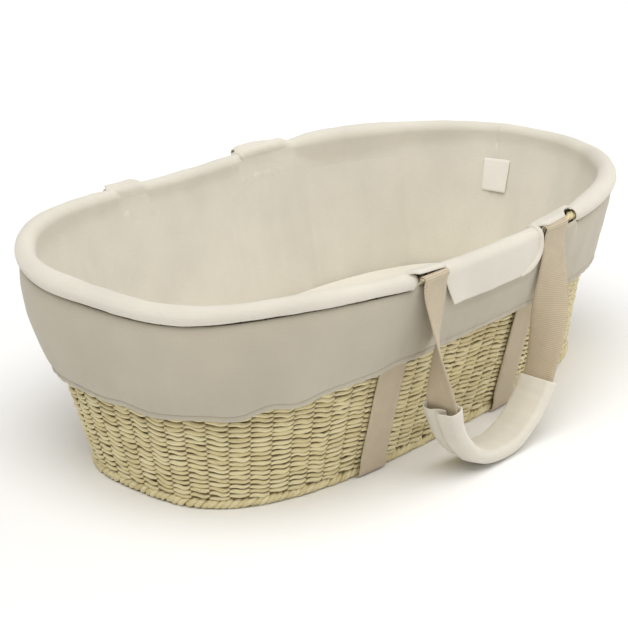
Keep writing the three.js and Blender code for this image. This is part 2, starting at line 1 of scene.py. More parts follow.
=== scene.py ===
"""A moses basket: woven cord shell, cream liner and skirt, webbing handles and a thin mattress.

Metres, in the frame's own axes: +X runs to the head end, -Y is the near side, +Z is up.
"""
import math

import bpy
import numpy as np
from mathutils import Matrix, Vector


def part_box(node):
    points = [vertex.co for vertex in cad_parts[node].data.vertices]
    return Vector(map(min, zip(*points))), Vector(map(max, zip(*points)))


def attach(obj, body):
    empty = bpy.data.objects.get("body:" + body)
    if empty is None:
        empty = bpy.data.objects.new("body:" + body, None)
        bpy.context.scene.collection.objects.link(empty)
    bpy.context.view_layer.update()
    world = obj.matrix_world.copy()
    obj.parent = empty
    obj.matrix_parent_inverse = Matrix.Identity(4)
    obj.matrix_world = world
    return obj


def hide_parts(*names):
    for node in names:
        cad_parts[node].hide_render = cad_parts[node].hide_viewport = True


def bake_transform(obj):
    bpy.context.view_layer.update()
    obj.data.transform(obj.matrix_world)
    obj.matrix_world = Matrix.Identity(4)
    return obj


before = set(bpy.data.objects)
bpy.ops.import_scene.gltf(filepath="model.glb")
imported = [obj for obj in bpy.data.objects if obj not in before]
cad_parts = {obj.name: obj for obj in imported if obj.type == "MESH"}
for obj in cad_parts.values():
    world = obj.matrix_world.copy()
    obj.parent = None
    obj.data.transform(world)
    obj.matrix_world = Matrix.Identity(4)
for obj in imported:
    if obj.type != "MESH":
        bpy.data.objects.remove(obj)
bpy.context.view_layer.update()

MM = 0.001
TURN = 2 * math.pi

# ---- Driving dimensions ----

HOOP_RADIUS = 2 * MM
FOOT_BULGE = 3 * MM
hoop_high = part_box("rim_hoop")[1]
foot_low, foot_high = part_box("foot_border")
RIM = {
    "length": hoop_high.x - HOOP_RADIUS, "width": hoop_high.y - HOOP_RADIUS,
    "head": 2.36, "foot": 3.22, "middle": 0.0,
}
BASE = {
    "length": (foot_high.x - foot_low.x) / 2 - FOOT_BULGE, "width": foot_high.y - FOOT_BULGE,
    "head": 3.36, "foot": 3.05, "middle": (foot_high.x + foot_low.x) / 2,
}
RIM_HEIGHT = 244 * MM
FOOT_SWELL = 13 * MM
RIM_FLARE = 4 * MM

WALL_MIDDLE = -4 * MM  # the woven wall's middle, counted from its outer face
LINER_FACE = -12 * MM  # the liner's inner face, counted the same way
MATTRESS_FACE = -14.5 * MM
STRAP_WIDTH = 41 * MM
STRAP_THICKNESS = 2 * MM

OPENING_FOOT = (-168 * MM, -116 * MM)
OPENING_HEAD = (60 * MM, 150 * MM)
HANDLE_AXIS = (243 * MM, 253 * MM)  # the near handle's swing line: how far out and how high


# ---- Outlines ----

def oval(shape, turn):
    along, across = np.cos(turn), np.sin(turn)
    full = np.where(along > 0, shape["head"], shape["foot"])
    reach = (np.abs(along) ** full + np.abs(across) ** full) ** (-1 / full)
    return shape["middle"] + shape["length"] * reach * along, shape["width"] * reach * across


def rim_plan(turn):
    return oval(RIM, turn)


def plan_normal(curve, turn):
    step = 1e-4
    x1, y1 = curve(turn + step)
    x0, y0 = curve(turn - step)
    dx, dy = x1 - x0, y1 - y0
    size = np.hypot(dx, dy)
    return dy / size, -dx / size


def rim_height(x):
    share = x / RIM["length"]
    hump = 4 * (share ** 2 - share ** 4)
    return RIM_HEIGHT + FOOT_SWELL * hump * (0.5 - 0.75 * share)


def rim_top(turn):
    return rim_height(rim_plan(turn)[0])


def smooth(low, high, value):
    share = np.clip((value - low) / (high - low), 0, 1)
    return share * share * (3 - 2 * share)


HEAD_TUCK = 6 * MM  # the wall is drawn in a little at mid height round the head end


def wall_plan(turn, share):
    """The outer face of the wall in plan: share is 0 on the floor and 1 at the rim."""
    bx, by = oval(BASE, turn)
    rx, ry = rim_plan(turn)
    nx, ny = plan_normal(rim_plan, turn)
    tuck = HEAD_TUCK * smooth(0.14, 0.34, rx) * np.sin(np.clip(share, 0, 1) * math.pi)
    out = RIM_FLARE * share - tuck
    return bx + (rx - bx) * share + nx * out, by + (ry - by) * share + ny * out


def off_curve(curve, turn, height, out):
    """Points at some height, moved straight out from a curve in plan."""
    turn, height, out = np.broadcast_arrays(turn, height, out)
    x, y = curve(turn)
    nx, ny = plan_normal(curve, turn)
    return np.stack([x + nx * out, y + ny * out, height], -1)


def wall_point(turn, height, out):
    """Points of the wall, with `out` counted from its outer face."""
    share = height / rim_top(turn)
    return off_curve(lambda t: wall_plan(t, share), turn, height, out)


def floor_point(turn, height, out):
    """Points near the floor, counted from the base's own outline."""
    return off_curve(lambda t: oval(BASE, t), turn, height, out)


def rim_point(turn, out, up):
    """Points in the cross-section of the rim, with `out` and `up` counted from its core line."""
    return off_curve(rim_plan, turn, rim_top(turn) + up, out)


def even_turns(start, end, count, share, loop=False):
    """Turns at even steps along the wall, at that share of its height, and the length so far."""
    fine = np.linspace(start, end, 8001)
    x, y = wall_plan(fine, share)
    run = np.concatenate([[0], np.cumsum(np.hypot(np.diff(x), np.diff(y)))])
    wanted = np.linspace(0, run[-1], count, endpoint=not loop)
    return np.interp(wanted, run, fine), wanted


def lap(count, share=0.5):
    return even_turns(0, TURN, count, share, loop=True)


def turn_at(x, share):
    """The turn on the far side at which the wall, at that share of its height, reaches x."""
    x, share = np.broadcast_arrays(np.asarray(x, float), np.asarray(share, float))
    low, high = np.zeros(x.shape), np.full(x.shape, math.pi)
    for _ in range(40):
        middle = (low + high) / 2
        beyond = wall_plan(middle, share)[0] > x
        low, high = np.where(beyond, middle, low), np.where(beyond, high, middle)
    return (low + high) / 2


def rim_turn(x, side):
    """The turn at which the rim reaches x: side is 1 for the far side and -1 for the near one."""
    turn = turn_at(x, 1.0)
    return turn if side > 0 else TURN - turn


WALL_TURNS, WALL_RUN = even_turns(0, TURN, 4001, 0.5)
WALL_LENGTH = WALL_RUN[-1]


def along_wall(turn):
    """How far round the wall a turn lies, at half its height."""
    return np.interp(np.mod(turn, TURN), WALL_TURNS, WALL_RUN)


def ripples(seed, along, across, length, wavelength, slant=0.5, count=9):
    """Soft bumps of about -1 to 1 that close up after `length` along the cloth."""
    rng = np.random.default_rng(seed)
    total = 0
    for _ in range(count):
        laps = max(1, round(length / (wavelength * rng.uniform(0.65, 1.7))))
        lean = slant * rng.uniform(-1, 1) * TURN / wavelength
        total = total + np.cos(laps * TURN / length * along + lean * across + rng.uniform(0, TURN))
    return total / math.sqrt(count)


def run_lengths(line, loop=False):
    """The length so far at each point of a line, and once more after a last step or the closing one."""
    closed = np.concatenate([line, line[:1] if loop else 2 * line[-1:] - line[-2:-1]])
    return np.concatenate([[0], np.cumsum(np.linalg.norm(np.diff(closed, axis=0), axis=-1))])


def sample(line, wanted, run):
    return np.stack([np.interp(wanted, run, column) for column in line.T], -1)


def catmull(points, count):
    """Evenly spaced points on the centripetal Catmull-Rom curve through these."""
    ends = [2 * points[0] - points[1], *points, 2 * points[-1] - points[-2]]
    fine = []
    for quad in zip(ends, ends[1:], ends[2:], ends[3:]):
        knots = np.cumsum([0, *(np.linalg.norm(b - a) ** 0.5 for a, b in zip(quad, quad[1:]))])
        t = np.linspace(knots[1], knots[2], 40, endpoint=False)[:, None]
        for reach, start in ((1, 0), (2, 0), (1, 1)):
            spans = zip(knots[start:], knots[start + reach:], quad, quad[1:])
            quad = [((end - t) / (end - begin) * p + (t - begin) / (end - begin) * q)
                    for begin, end, p, q in spans]
        fine.append(quad[0])
    fine = np.concatenate([*fine, points[-1:]])
    run = run_lengths(fine)[:-1]
    return sample(fine, np.linspace(0, run[-1], count), run)


# ---- Mesh building ----

def add_object(name, data):
    made = bpy.data.objects.new(name, data)
    bpy.context.scene.collection.objects.link(made)
    return made


class Store:
    """Collects closed grids of points, then makes one smooth mesh of them."""

    def __init__(self):
        self.points, self.faces, self.uvs, self.values, self.size = [], [], [], {}, 0

    def add(self, points, loop_u=False, uv=None, caps=(), **values):
        """points is (nu, nv, 3), and v always closes on itself. Open ends get their caps."""
        nu, nv = points.shape[:2]
        rows = nu if loop_u else nu - 1
        u, v = (a.ravel() for a in np.meshgrid(np.arange(rows), np.arange(nv), indexing="ij"))
        corner_u = np.stack([u, u + 1, u + 1, u], -1)
        corner_v = np.stack([v, v, v + 1, v + 1], -1)
        faces = (corner_u % nu) * nv + corner_v % nv
        along, round_it = uv if uv is not None else (np.arange(nu + 1.0), np.arange(nv + 1.0))
        corner_uv = np.stack([along[corner_u], round_it[corner_v]], -1)
        polygons, corner_uvs = [faces], [corner_uv]
        for ring, step in ((0, 1), (nu - 1, -1)):
            for cap in caps:
                cap = np.array(cap)[:, ::step]
                polygons.append(cap + ring * nv)
                corner_uvs.append(np.stack([np.full(cap.shape, along[ring]), round_it[cap]], -1))
        flat = points.reshape(-1, 3)
        a, b, c, d = (flat[faces[:, i]] for i in range(4))
        volume = np.einsum("ij,ij->", a, np.cross(b, c)) + np.einsum("ij,ij->", a, np.cross(c, d))
        for polygon, corner in zip(polygons, corner_uvs):
            if volume < 0:
                polygon, corner = polygon[:, ::-1], corner[:, ::-1]
            self.faces.append(polygon + self.size)
            self.uvs.append(corner)
        self.points.append(flat)
        for name, value in values.items():
            spread = np.broadcast_to(value, (nu, nv)).ravel()
            self.values.setdefault(name, []).append(spread)
        self.size += len(flat)

    def build(self, name, slot):
        """One mesh in that slot's material, with its UVs in metres and its shading values."""
        mesh = bpy.data.meshes.new(name)
        points = np.concatenate(self.points)
        mesh.vertices.add(len(points))
        mesh.vertices.foreach_set("co", points.astype(np.float32).ravel())
        corners = np.concatenate([f.ravel() for f in self.faces]).astype(np.int32)
        sizes = np.concatenate([np.full(len(f), f.shape[1]) for f in self.faces])
        mesh.loops.add(len(corners))
        mesh.loops.foreach_set("vertex_index", corners)
        mesh.polygons.add(len(sizes))
        starts = np.concatenate([[0], np.cumsum(sizes)[:-1]]).astype(np.int32)
        mesh.polygons.foreach_set("loop_start", starts)
        mesh.update(calc_edges=True)
        layer = mesh.uv_layers.new(name="cloth")
        uvs = np.concatenate([uv.reshape(-1, 2) for uv in self.uvs]).astype(np.float32)
        layer.data.foreach_set("uv", uvs.ravel())
        for key, parts in self.values.items():
            attribute = mesh.attributes.new(key, "FLOAT", "POINT")
            attribute.data.foreach_set("value", np.concatenate(parts).astype(np.float32))
        mesh.shade_smooth()
        mesh.materials.append(FINISHES[slot])
        piece = add_object(name, mesh)
        return piece


def unit(vectors):
    return vectors / np.maximum(np.linalg.norm(vectors, axis=-1, keepdims=True), 1e-12)


def steps_of(points, axis, loop):
    """The direction of a grid along one axis, at every point."""
    if loop:
        return np.roll(points, -1, axis) - np.roll(points, 1, axis)
    return np.gradient(points, axis=axis)


def end_ring(section, middle, outward, edge):
    """The last, thinner ring at an open end of a cloth, which rounds it off."""
    spine = np.concatenate([middle, middle[-1:], middle[::-1], middle[:1]])
    direction = np.concatenate([outward, outward[-1:], outward[::-1], outward[:1]])
    return spine + (section - spine) * 0.5 + direction * edge * 0.35


def cloth(name, middle, thickness, slot, loop=False):
    """A sheet of cloth with rounded edges, from the grid of its middle surface."""
    thickness = np.broadcast_to(thickness, middle.shape[:2])[..., None]
    nu, nv = middle.shape[:2]
    normal = unit(np.cross(steps_of(middle, 0, loop), steps_of(middle, 1, False)))
    outer, inner = middle + normal * thickness / 2, middle - normal * thickness / 2
    first = middle[:, :1] + unit(middle[:, :1] - middle[:, 1:2]) * thickness[:, :1] * 0.4
    last = middle[:, -1:] + unit(middle[:, -1:] - middle[:, -2:-1]) * thickness[:, -1:] * 0.4
    section = np.concatenate([outer, last, inner[:, ::-1], first], 1)
    across = run_lengths(middle[nu // 2])[:nv]
    edge = float(thickness.mean())
    v = np.concatenate([across, [across[-1] + edge / 2], across[::-1], [-edge / 2, 0]])
    along = run_lengths(middle[:, nv // 2], loop)
    caps = ()
    if not loop:
        head, tail = unit(middle[0] - middle[1]), unit(middle[-1] - middle[-2])
        section = np.concatenate([
            end_ring(section[0], middle[0], head, edge)[None], section,
            end_ring(section[-1], middle[-1], tail, edge)[None],
        ])
        along = np.concatenate([[along[0]], along[:-1], [along[-2], along[-2]]])
        size = 2 * nv + 2
        j = np.arange(nv - 1)
        strips = np.stack([j, j + 1, size - 3 - j, size - 2 - j], -1)
        caps = (strips, np.array([[nv - 1, nv, nv + 1], [size - 1, 0, size - 2]]))
    store = Store()
    store.add(section, loop_u=loop, uv=(along, v), caps=caps)
    return store.build(name, slot)


FLAT_CENTRE = 0.002  # the innermost ring of a flat piece, as a share of its edge


def straight_knit(piece):
    """Lay the knit straight across a flat piece, because its rings would bunch it in the middle."""
    mesh = piece.data
    points, corners = np.empty(3 * len(mesh.vertices)), np.empty(len(mesh.loops), dtype=int)
    mesh.vertices.foreach_get("co", points)
    mesh.loops.foreach_get("vertex_index", corners)
    points = points.reshape(-1, 3)[corners]
    mesh.uv_layers["cloth"].data.foreach_set("uv", (points[:, :2] + points[:, 2:]).ravel())


def add_tube(store, path, radius, sides=8, loop=True, upright=(0, 0, 1), squash=1.0, **values):
    """A round cord along a path, with radius a number or one for each point."""
    radius = np.broadcast_to(radius, len(path))[:, None, None]
    tangent = unit(steps_of(path, 0, loop))
    side = unit(np.cross(tangent, np.broadcast_to(upright, path.shape)))
    up = np.cross(side, tangent)
    angle = np.arange(sides) * TURN / sides
    ring = side[:, None] * np.cos(angle)[:, None] + up[:, None] * (np.sin(angle) * squash)[:, None]
    points = path[:, None] + ring * radius
    fan = [np.array([[0, i, i + 1]]) for i in range(1, sides - 1)]
    around = np.arange(sides + 1) * TURN / sides * float(np.mean(radius))
    uv = (run_lengths(path, loop), around)
    store.add(points, loop_u=loop, uv=uv, caps=() if loop else fan, **values)


def settle(piece, node, body="basket"):
    """The piece stands for that CAD node and rides on the body."""
    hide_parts(node)
    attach(piece, body)


# ---- Materials ----

class Surface:
    """A material as a short list of connected nodes."""

    def __init__(self, name, roughness, sheen=0.0, metallic=0.0, specular=0.25):
        self.material = bpy.data.materials.new(name)
        self.material.use_nodes = True
        self.tree = self.material.node_tree
        self.shader = self.tree.nodes["Principled BSDF"]
        values = {
            "Roughness": roughness, "Metallic": metallic, "Sheen Weight": sheen,
            "Sheen Roughness": 0.6, "Specular IOR Level": specular,
        }
        for key, value in values.items():
            self.shader.inputs[key].default_value = value

    def node(self, kind, inputs=None, **settings):
        """A node whose inputs are linked where a socket is given, and set where a value is."""
        made = self.tree.nodes.new(kind)
        for key, value in settings.items():
            setattr(made, key, value)
        for key, value in (inputs or {}).items():
            if isinstance(value, bpy.types.NodeSocket):
                self.tree.links.new(value, made.inputs[key])
            else:
                made.inputs[key].default_value = value
        return made

    def maths(self, operation, a, b=0.0):
        return self.node("ShaderNodeMath", {0: a, 1: b}, operation=operation).outputs[0]

    def total(self, first, *weighted):
        """A socket plus others, each times its weight."""
        for socket, weight in weighted:
            first = self.maths("ADD", first, self.maths("MULTIPLY", socket, weight))
        return first

    def cloth_uv(self, scale_u, scale_v):
        """The cloth's own lengths in metres, scaled."""
        place = self.node("ShaderNodeUVMap", uv_map="cloth").outputs[0]
        inputs = {0: place, 1: (scale_u, scale_v, 1)}
        return self.node("ShaderNodeVectorMath", inputs, operation="MULTIPLY").outputs[0]

    def position(self):
        return self.node("ShaderNodeTexCoord").outputs["Object"]

    def noise(self, vector, scale, detail=3.0, roughness=0.55):
        inputs = {"Vector": vector, "Scale": scale, "Detail": detail, "Roughness": roughness}
        return self.node("ShaderNodeTexNoise", inputs).outputs[0]

    def bands(self, period, direction, distortion=0.4):
        """Even ribs with that period in metres, across or along the cloth's length."""
        inputs = {
            "Vector": self.cloth_uv(1, 1), "Scale": math.pi / 10 / period, "Distortion": distortion,
            "Detail": 1.0, "Detail Scale": 1.0,
        }
        return self.node("ShaderNodeTexWave", inputs, bands_direction=direction).outputs[1]

    def ramp(self, value, stops):
        made = self.node("ShaderNodeValToRGB", {0: value})
        elements = made.color_ramp.elements
        while len(elements) < len(stops):
            elements.new(0.5)
        for element, (place, colour) in zip(elements, stops):
            element.position = place
            element.color = (*colour, 1)
        return made.outputs[0]

    def mix(self, share, a, b, blend="MIX"):
        inputs = {0: share, 6: a, 7: b}
        return self.node("ShaderNodeMix", inputs, data_type="RGBA", blend_type=blend).outputs[2]

    def attribute(self, name):
        return self.node("ShaderNodeAttribute", attribute_name=name).outputs["Fac"]

    def finish(self, colour, height=None, depth=0.0, strength=1.0):
        self.tree.links.new(colour, self.shader.inputs["Base Color"])
        if height is not None:
            inputs = {"Height": height, "Distance": depth, "Strength": strength}
            bump = self.node("ShaderNodeBump", inputs).outputs[0]
            self.tree.links.new(bump, self.shader.inputs["Normal"])
        return self.material


CREAM = (0.75, 0.715, 0.625)
# Painted shade: the skirt is the liner's own cream cloth, painted darker for the shade it hangs in below the
# roll.
SKIRT_SHADED_CREAM = (0.53, 0.485, 0.385)
KNIT_PITCH = 1.3 * MM
RIB_PITCH = 2.2 * MM
WARP_PITCH = 1.5 * MM


def scaled(colour, factor):
    return tuple(min(1.0, c * factor) for c in colour)


def knit(name, colour, pitch=KNIT_PITCH, depth=0.12 * MM, mottle=0.05):
    """Fine cotton jersey: small loops in rows and columns, with faint slubs and soft mottling."""
    surface = Surface(name, 0.92, sheen=0.25)
    rows = surface.bands(pitch, "X")
    columns = surface.bands(pitch * 1.15, "Y")
    loops = surface.maths("MULTIPLY", rows, columns)
    slubs = surface.noise(surface.cloth_uv(1, 6), 90.0)
    soft = surface.noise(surface.position(), 11.0, 2.0)
    height = surface.total(loops, (slubs, 0.8))
    base = surface.ramp(soft, [(0.3, scaled(colour, 1 - mottle)), (0.7, scaled(colour, 1 + mottle))])
    # Painted shade: the knit darkened down between its loops.
    shade = surface.ramp(height, [(0.1, (0.9, 0.885, 0.86)), (0.9, (1, 1, 1))])
    return surface.finish(surface.mix(1.0, base, shade, "MULTIPLY"), height, depth, 0.5)


def webbing_cloth(name, colour):
    """Heavy cotton webbing: weft ribs across it, warp lines along it, with painted shade in the grooves."""
    surface = Surface(name, 0.88, sheen=0.15)
    ribs = surface.bands(RIB_PITCH, "X", 0.3)
    warp = surface.bands(WARP_PITCH, "Y", 0.2)
    weave = surface.total(surface.maths("MULTIPLY", ribs, 0.7), (warp, 0.3))
    uneven = surface.noise(surface.cloth_uv(1, 1), 70.0)
    height = surface.total(weave, (uneven, 0.5))
    base = surface.ramp(uneven, [(0.3, scaled(colour, 0.96)), (0.7, scaled(colour, 1.03))])
    # Painted shade: the webbing darkened down in its grooves.
    shade = surface.ramp(weave, [(0.0, (0.72, 0.68, 0.61)), (0.7, (1, 1, 1))])
    return surface.finish(surface.mix(1.0, base, shade, "MULTIPLY"), height, 0.3 * MM, 0.7)


# Painted shade: the dark brown the straw is painted in its gaps and on the hidden sides of its cords.
STRAW_PAINTED_SHADE = (0.17, 0.115, 0.042, 1)
STRAW_TONES = [  # from the darkest leaf to the palest
    (0.0, (0.52, 0.42, 0.215)), (0.35, (0.70, 0.60, 0.335)), (0.6, (0.78, 0.69, 0.415)),
    (1.0, (0.86, 0.79, 0.54)),
]
CORD_TURN = 14 * MM  # once round a cord
CORD_LAY = 16 * MM  # length of one twist


def straw_cord(name):
    """Twisted maize leaf: long fibres winding round each cord, with painted shade down in the gaps."""
    surface = Surface(name, 0.62, specular=0.35)
    parts = surface.node("ShaderNodeSeparateXYZ", {0: surface.cloth_uv(1 / CORD_LAY, 1 / CORD_TURN)})
    wound = surface.maths("ADD", parts.outputs[0], parts.outputs[1])
    tone = surface.attribute("tone")
    scaled_by = enumerate(((parts.outputs[0], 0.5), (wound, 5.0), (tone, 7.0)))
    seat = {axis: surface.maths("MULTIPLY", socket, factor) for axis, (socket, factor) in scaled_by}
    fibres = surface.noise(surface.node("ShaderNodeCombineXYZ", seat).outputs[0], 1.6, 4.0, 0.6)
    mixed = surface.total(surface.maths("MULTIPLY", fibres, 0.6), (tone, 0.42))
    # Painted shade: the per-point shade values, roughened by the fibres, blend the straw towards dark brown
    # in the gaps.
    edge = surface.total(surface.attribute("shade"), (surface.maths("SUBTRACT", fibres, 0.5), 0.3))
    depth = surface.ramp(edge, [(0.12, (0, 0, 0)), (0.5, (1, 1, 1))])
    colour = surface.mix(depth, STRAW_PAINTED_SHADE, surface.ramp(mixed, STRAW_TONES))
    return surface.finish(colour, fibres, 0.7 * MM, 0.8)


def grained(name, roughness, grain, stops, bump=(), **look):
    """A surface whose only pattern is a fine grain: (scale, detail, roughness) of its noise."""
    surface = Surface(name, roughness, **look)
    pattern = surface.noise(surface.position(), *grain)
    return surface.finish(surface.ramp(pattern, stops), *((pattern, *bump) if bump else ()))


def fleece(name, colour, scale=260.0):
    stops = [(0.3, scaled(colour, 0.85)), (0.75, scaled(colour, 1.05))]
    return grained(name, 1.0, (scale, 5.0, 0.7), stops, (1.0 * MM, 0.8), sheen=0.3)


def stretch_tape(name, colour):
    stops = [(0.3, scaled(colour, 0.86)), (0.7, scaled(colour, 1.04))]
    return grained(name, 0.7, (900.0, 2.0), stops, (0.2 * MM, 0.8))


WIRE_TONES = [(0.3, (0.40, 0.40, 0.39)), (0.7, (0.56, 0.56, 0.55))]
FLOOR_TONES = [(0.3, (0.93, 0.93, 0.93)), (0.7, (0.95, 0.95, 0.95))]
FINISHES = {
    "straw": straw_cord("straw"),
    "jersey": knit("jersey", CREAM),
    # Painted shade: the skirt's copy of the jersey is darker than the liner's.
    "skirt_cloth": knit("skirt_cloth", SKIRT_SHADED_CREAM),
    "mattress_cloth": knit("mattress_cloth", scaled(CREAM, 1.02), 0.9 * MM),
    "webbing": webbing_cloth("webbing", (0.62, 0.53, 0.39)),
    "wadding": fleece("wadding", (0.86, 0.85, 0.80)),
    "foam": fleece("foam", (0.83, 0.78, 0.58), 700.0),
    "label_tape": knit("label_tape", (0.88, 0.85, 0.79), 0.6 * MM, 0.05 * MM),
    "elastic": stretch_tape("elastic", (0.80, 0.76, 0.67)),
    "hook_tape": stretch_tape("hook_tape", (0.76, 0.73, 0.64)),
    "hoop_steel": grained("hoop_steel", 0.38, (160.0, 4.0), WIRE_TONES, (0.05 * MM, 0.5), metallic=1.0),
    "floor": grained("floor", 0.85, (1.3, 2.0), FLOOR_TONES),
}


# ---- Camera, lights and floor ----

CAMERA_AIM = Vector((-52.0, 0, 123.5)) * MM
CAMERA_AZIMUTH = math.radians(-49.52)
CAMERA_ELEVATION = math.radians(20.83)
CAMERA_DISTANCE = 2.3798
CAMERA_LENS = 113.45
CAMERA_SHIFT = -0.0051


def make_camera():
    data = bpy.data.cameras.new("camera")
    data.lens = CAMERA_LENS
    data.shift_x = CAMERA_SHIFT
    camera = add_object("camera", data)
    flat = math.cos(CAMERA_ELEVATION)
    back = Vector((
        math.sin(CAMERA_AZIMUTH) * flat, -math.cos(CAMERA_AZIMUTH) * flat, math.sin(CAMERA_ELEVATION),
    ))
    camera.location = CAMERA_AIM + back * CAMERA_DISTANCE
    camera.rotation_euler = (-back).to_track_quat("-Z", "Y").to_euler()
    bpy.context.scene.camera = camera


WORLD_LIGHT = 0.35
FLOOR_HALF = 14.0
LIGHTS = {  # strength, width in degrees, direction it comes from
    "key": (2.3, 56, (-0.3, -0.2, 1.0)),
    "fill": (0.85, 70, (1.0, -0.6, 0.45)),
}


def add_light(name, strength, width, direction):
    sun = bpy.data.lights.new(name, "SUN")
    sun.energy = strength
    sun.angle = math.radians(width)
    sun.color = (1, 0.985, 0.96)
    add_object(name, sun).rotation_euler = Vector(direction).to_track_quat("Z", "Y").to_euler()


def make_stage():
    world = bpy.data.worlds.new("studio")
    world.use_nodes = True
    background = world.node_tree.nodes["Background"]
    background.inputs[0].default_value = (1, 1, 1, 1)
    background.inputs[1].default_value = WORLD_LIGHT
    bpy.context.scene.world = world
    bpy.context.scene.view_settings.view_transform = "Standard"
    for name, settings in LIGHTS.items():
        add_light(name, *settings)
    mesh = bpy.data.meshes.new("floor")
    corners = [(x * FLOOR_HALF, y * FLOOR_HALF, 0) for x, y in ((-1, -1), (1, -1), (1, 1), (-1, 1))]
    mesh.from_pydata(corners, [], [(0, 1, 2, 3)])
    mesh.materials.append(FINISHES["floor"])
    add_object("floor", mesh)


# ---- Woven shell ----

STAKES = 78
ROW_PITCH = 3.2 * MM
ROWS_START = 12.5 * MM
WEAVE_SWING = 1.9 * MM  # how far a cord swings in and out round the stakes
CORD_DEPTH = 1.9 * MM
CORD_SLANT = 1.5 * MM
ROW_WANDER = 1.3 * MM
ROW_BANDS = {  # first and last row, points from stake to stake, sides of a cord
    "low": (0, 16, 9, 8), "middle": (16, 32, 9, 8), "high": (32, 48, 9, 8), "top": (48, 69, 4, 6),
}


def at_stakes(values, stake):
    """Random values given at the stakes, blended along a row. values is (rows, stakes)."""
    low = np.floor(stake).astype(int)
    share = smooth(0, 1, stake - low)
    return values[:, low % STAKES] * (1 - share) + values[:, (low + 1) % STAKES] * share


def woven_rows(name, first, last, steps, sides):
    """A band of rows of twisted cord, each swinging in and out round the stakes."""
    rng = np.random.default_rng(101 + first)
    rows = np.arange(first, last)[:, None]
    samples = STAKES * steps
    stake = np.arange(samples) / steps
    turns, run = lap(samples)
    wave = np.cos(math.pi * (stake + rows))
    loose = 1 + 0.22 * at_stakes(rng.uniform(-1, 1, (len(rows), STAKES)), stake)
    swing = np.sign(wave) * np.abs(wave) ** 0.62 * loose
    front = np.clip(swing, 0, 1.3)
    jitter = [at_stakes(rng.uniform(-1, 1, (len(rows), STAKES)), stake) for _ in range(4)]
    tone = at_stakes(rng.uniform(0, 1, (len(rows), STAKES)), stake)
    slant = -np.sin((stake - np.round(stake)) * TURN) * np.where(wave >= 0, 1, -0.4)
    wander = ripples(99, run, rows * ROW_PITCH, WALL_LENGTH, 0.07, 0.8)
    height = ROWS_START + (rows + 0.5) * ROW_PITCH + CORD_SLANT * slant * (0.6 + 0.6 * jitter[3])
    settled = smooth(0, 4, rows)
    height = height + settled * (0.7 * MM * jitter[0] + ROW_WANDER * wander)
    out = WALL_MIDDLE + WEAVE_SWING * swing + 0.35 * MM * jitter[1]
    half_tall = (1.75 + 1.15 * np.minimum(np.abs(swing), 1) ** 1.3 + 0.25 * jitter[2]) * MM
    middle = wall_point(turns, height, out)
    nx, ny = plan_normal(rim_plan, turns)
    outward = np.stack([nx, ny, np.zeros(samples)], -1)[None, :, None]
    angle = np.arange(sides) * TURN / sides
    depth = CORD_DEPTH * (0.92 + 0.12 * front)
    points = middle[:, :, None] + outward * (depth[..., None] * np.cos(angle))[..., None]
    points[..., 2] += half_tall[..., None] * np.sin(angle)
    # Painted shade: each cord darker round its back and where it passes behind a stake.
    shade = (0.5 + 0.5 * np.cos(angle)) ** 0.8 * (0.14 + 0.92 * front[..., None] ** 0.6)
    store = Store()
    along = np.append(run, 2 * run[-1] - run[-2])
    around = np.arange(sides + 1) * CORD_TURN / sides
    for row, row_tone, row_painted_shade in zip(points, tone, shade):
        uv = (along + rng.uniform(0, 1), around)
        store.add(row, loop_u=True, uv=uv, tone=row_tone[:, None], shade=row_painted_shade)
    return store.build(name, "straw")


FOOT_ROPE_OUT, FOOT_ROPE_UP = -3.2 * MM, 6.6 * MM
FOOT_ROPE_LENGTH, RIM_ROPE_LENGTH = 1.78, 2.12
FOOT_PLAIT = (3, 24 * MM, 3.3 * MM, 3.3 * MM)  # strands, length of a lap, swing, strand radius
RIM_PLAIT = (3, 30 * MM, 3.0 * MM, 3.1 * MM)
STRAP_LINES = {  # where a band crosses the base, how far it leans up the wall, and its bow
    "foot": (-153 * MM, 11 * MM, -15 * MM), "head": (96 * MM, -7 * MM, -5 * MM),
}
BOW_FACTOR = 27 / 4


def plait(name, point, wall_share, length, strand_sizes, seed, lowest=None):
    """Strands winding round the basket. point(turn, out, up) gives points near their core line."""
    strands, lay, reach, thick = strand_sizes
    samples = 900
    run = np.arange(samples) / samples * length
    turn = np.interp(run / length, np.linspace(0, 1, 2001), even_turns(0, TURN, 2001, wall_share)[0])
    laps = round(length / lay)
    store = Store()
    for strand in range(strands):
        slip = 0.5 * ripples(seed + 40 + strand, run, 0, length, 0.05)
        angle = TURN * (laps * run / length + strand / strands) + slip
        swing = reach * (1 + 0.12 * ripples(seed + strand, run, 0, length, 0.03))
        path = point(turn, swing * np.cos(angle), swing * np.sin(angle))
        radius = thick * (1 + 0.1 * ripples(seed + 9 + strand, run, 0, length, 0.02))
        tone = np.clip(0.5 + 0.32 * ripples(seed + 20 + strand, run, 0, length, 0.05), 0, 1)
        # Painted shade: each strand darker where it winds round to the inner side of the plait.
        shade = 0.45 + 0.5 * np.cos(angle)
        add_tube(store, path, radius, tone=tone[:, None], shade=shade[:, None])
        if lowest is not None:
            points = store.points[-1]
            points[:, 2] = np.maximum(points[:, 2], lowest(points))
    return store.build(name, "straw")


def foot_border():
    def point(turn, out, up):
        return floor_point(turn, FOOT_ROPE_UP + up, FOOT_ROPE_OUT + out)

    def lowest(points):
        """The plait is pressed flat on the floor, and over the two bands that pass under it."""
        over = np.zeros(len(points))
        for x, _, _ in STRAP_LINES.values():
            near = np.abs(points[:, 0] - x)
            over = np.maximum(over, 1 - smooth(STRAP_WIDTH / 2, STRAP_WIDTH / 2 + 6 * MM, near))
        return 0.1 * MM + 2.5 * MM * over

    return plait("foot_border_plait", point, 0.0, FOOT_ROPE_LENGTH, FOOT_PLAIT, 11, lowest)


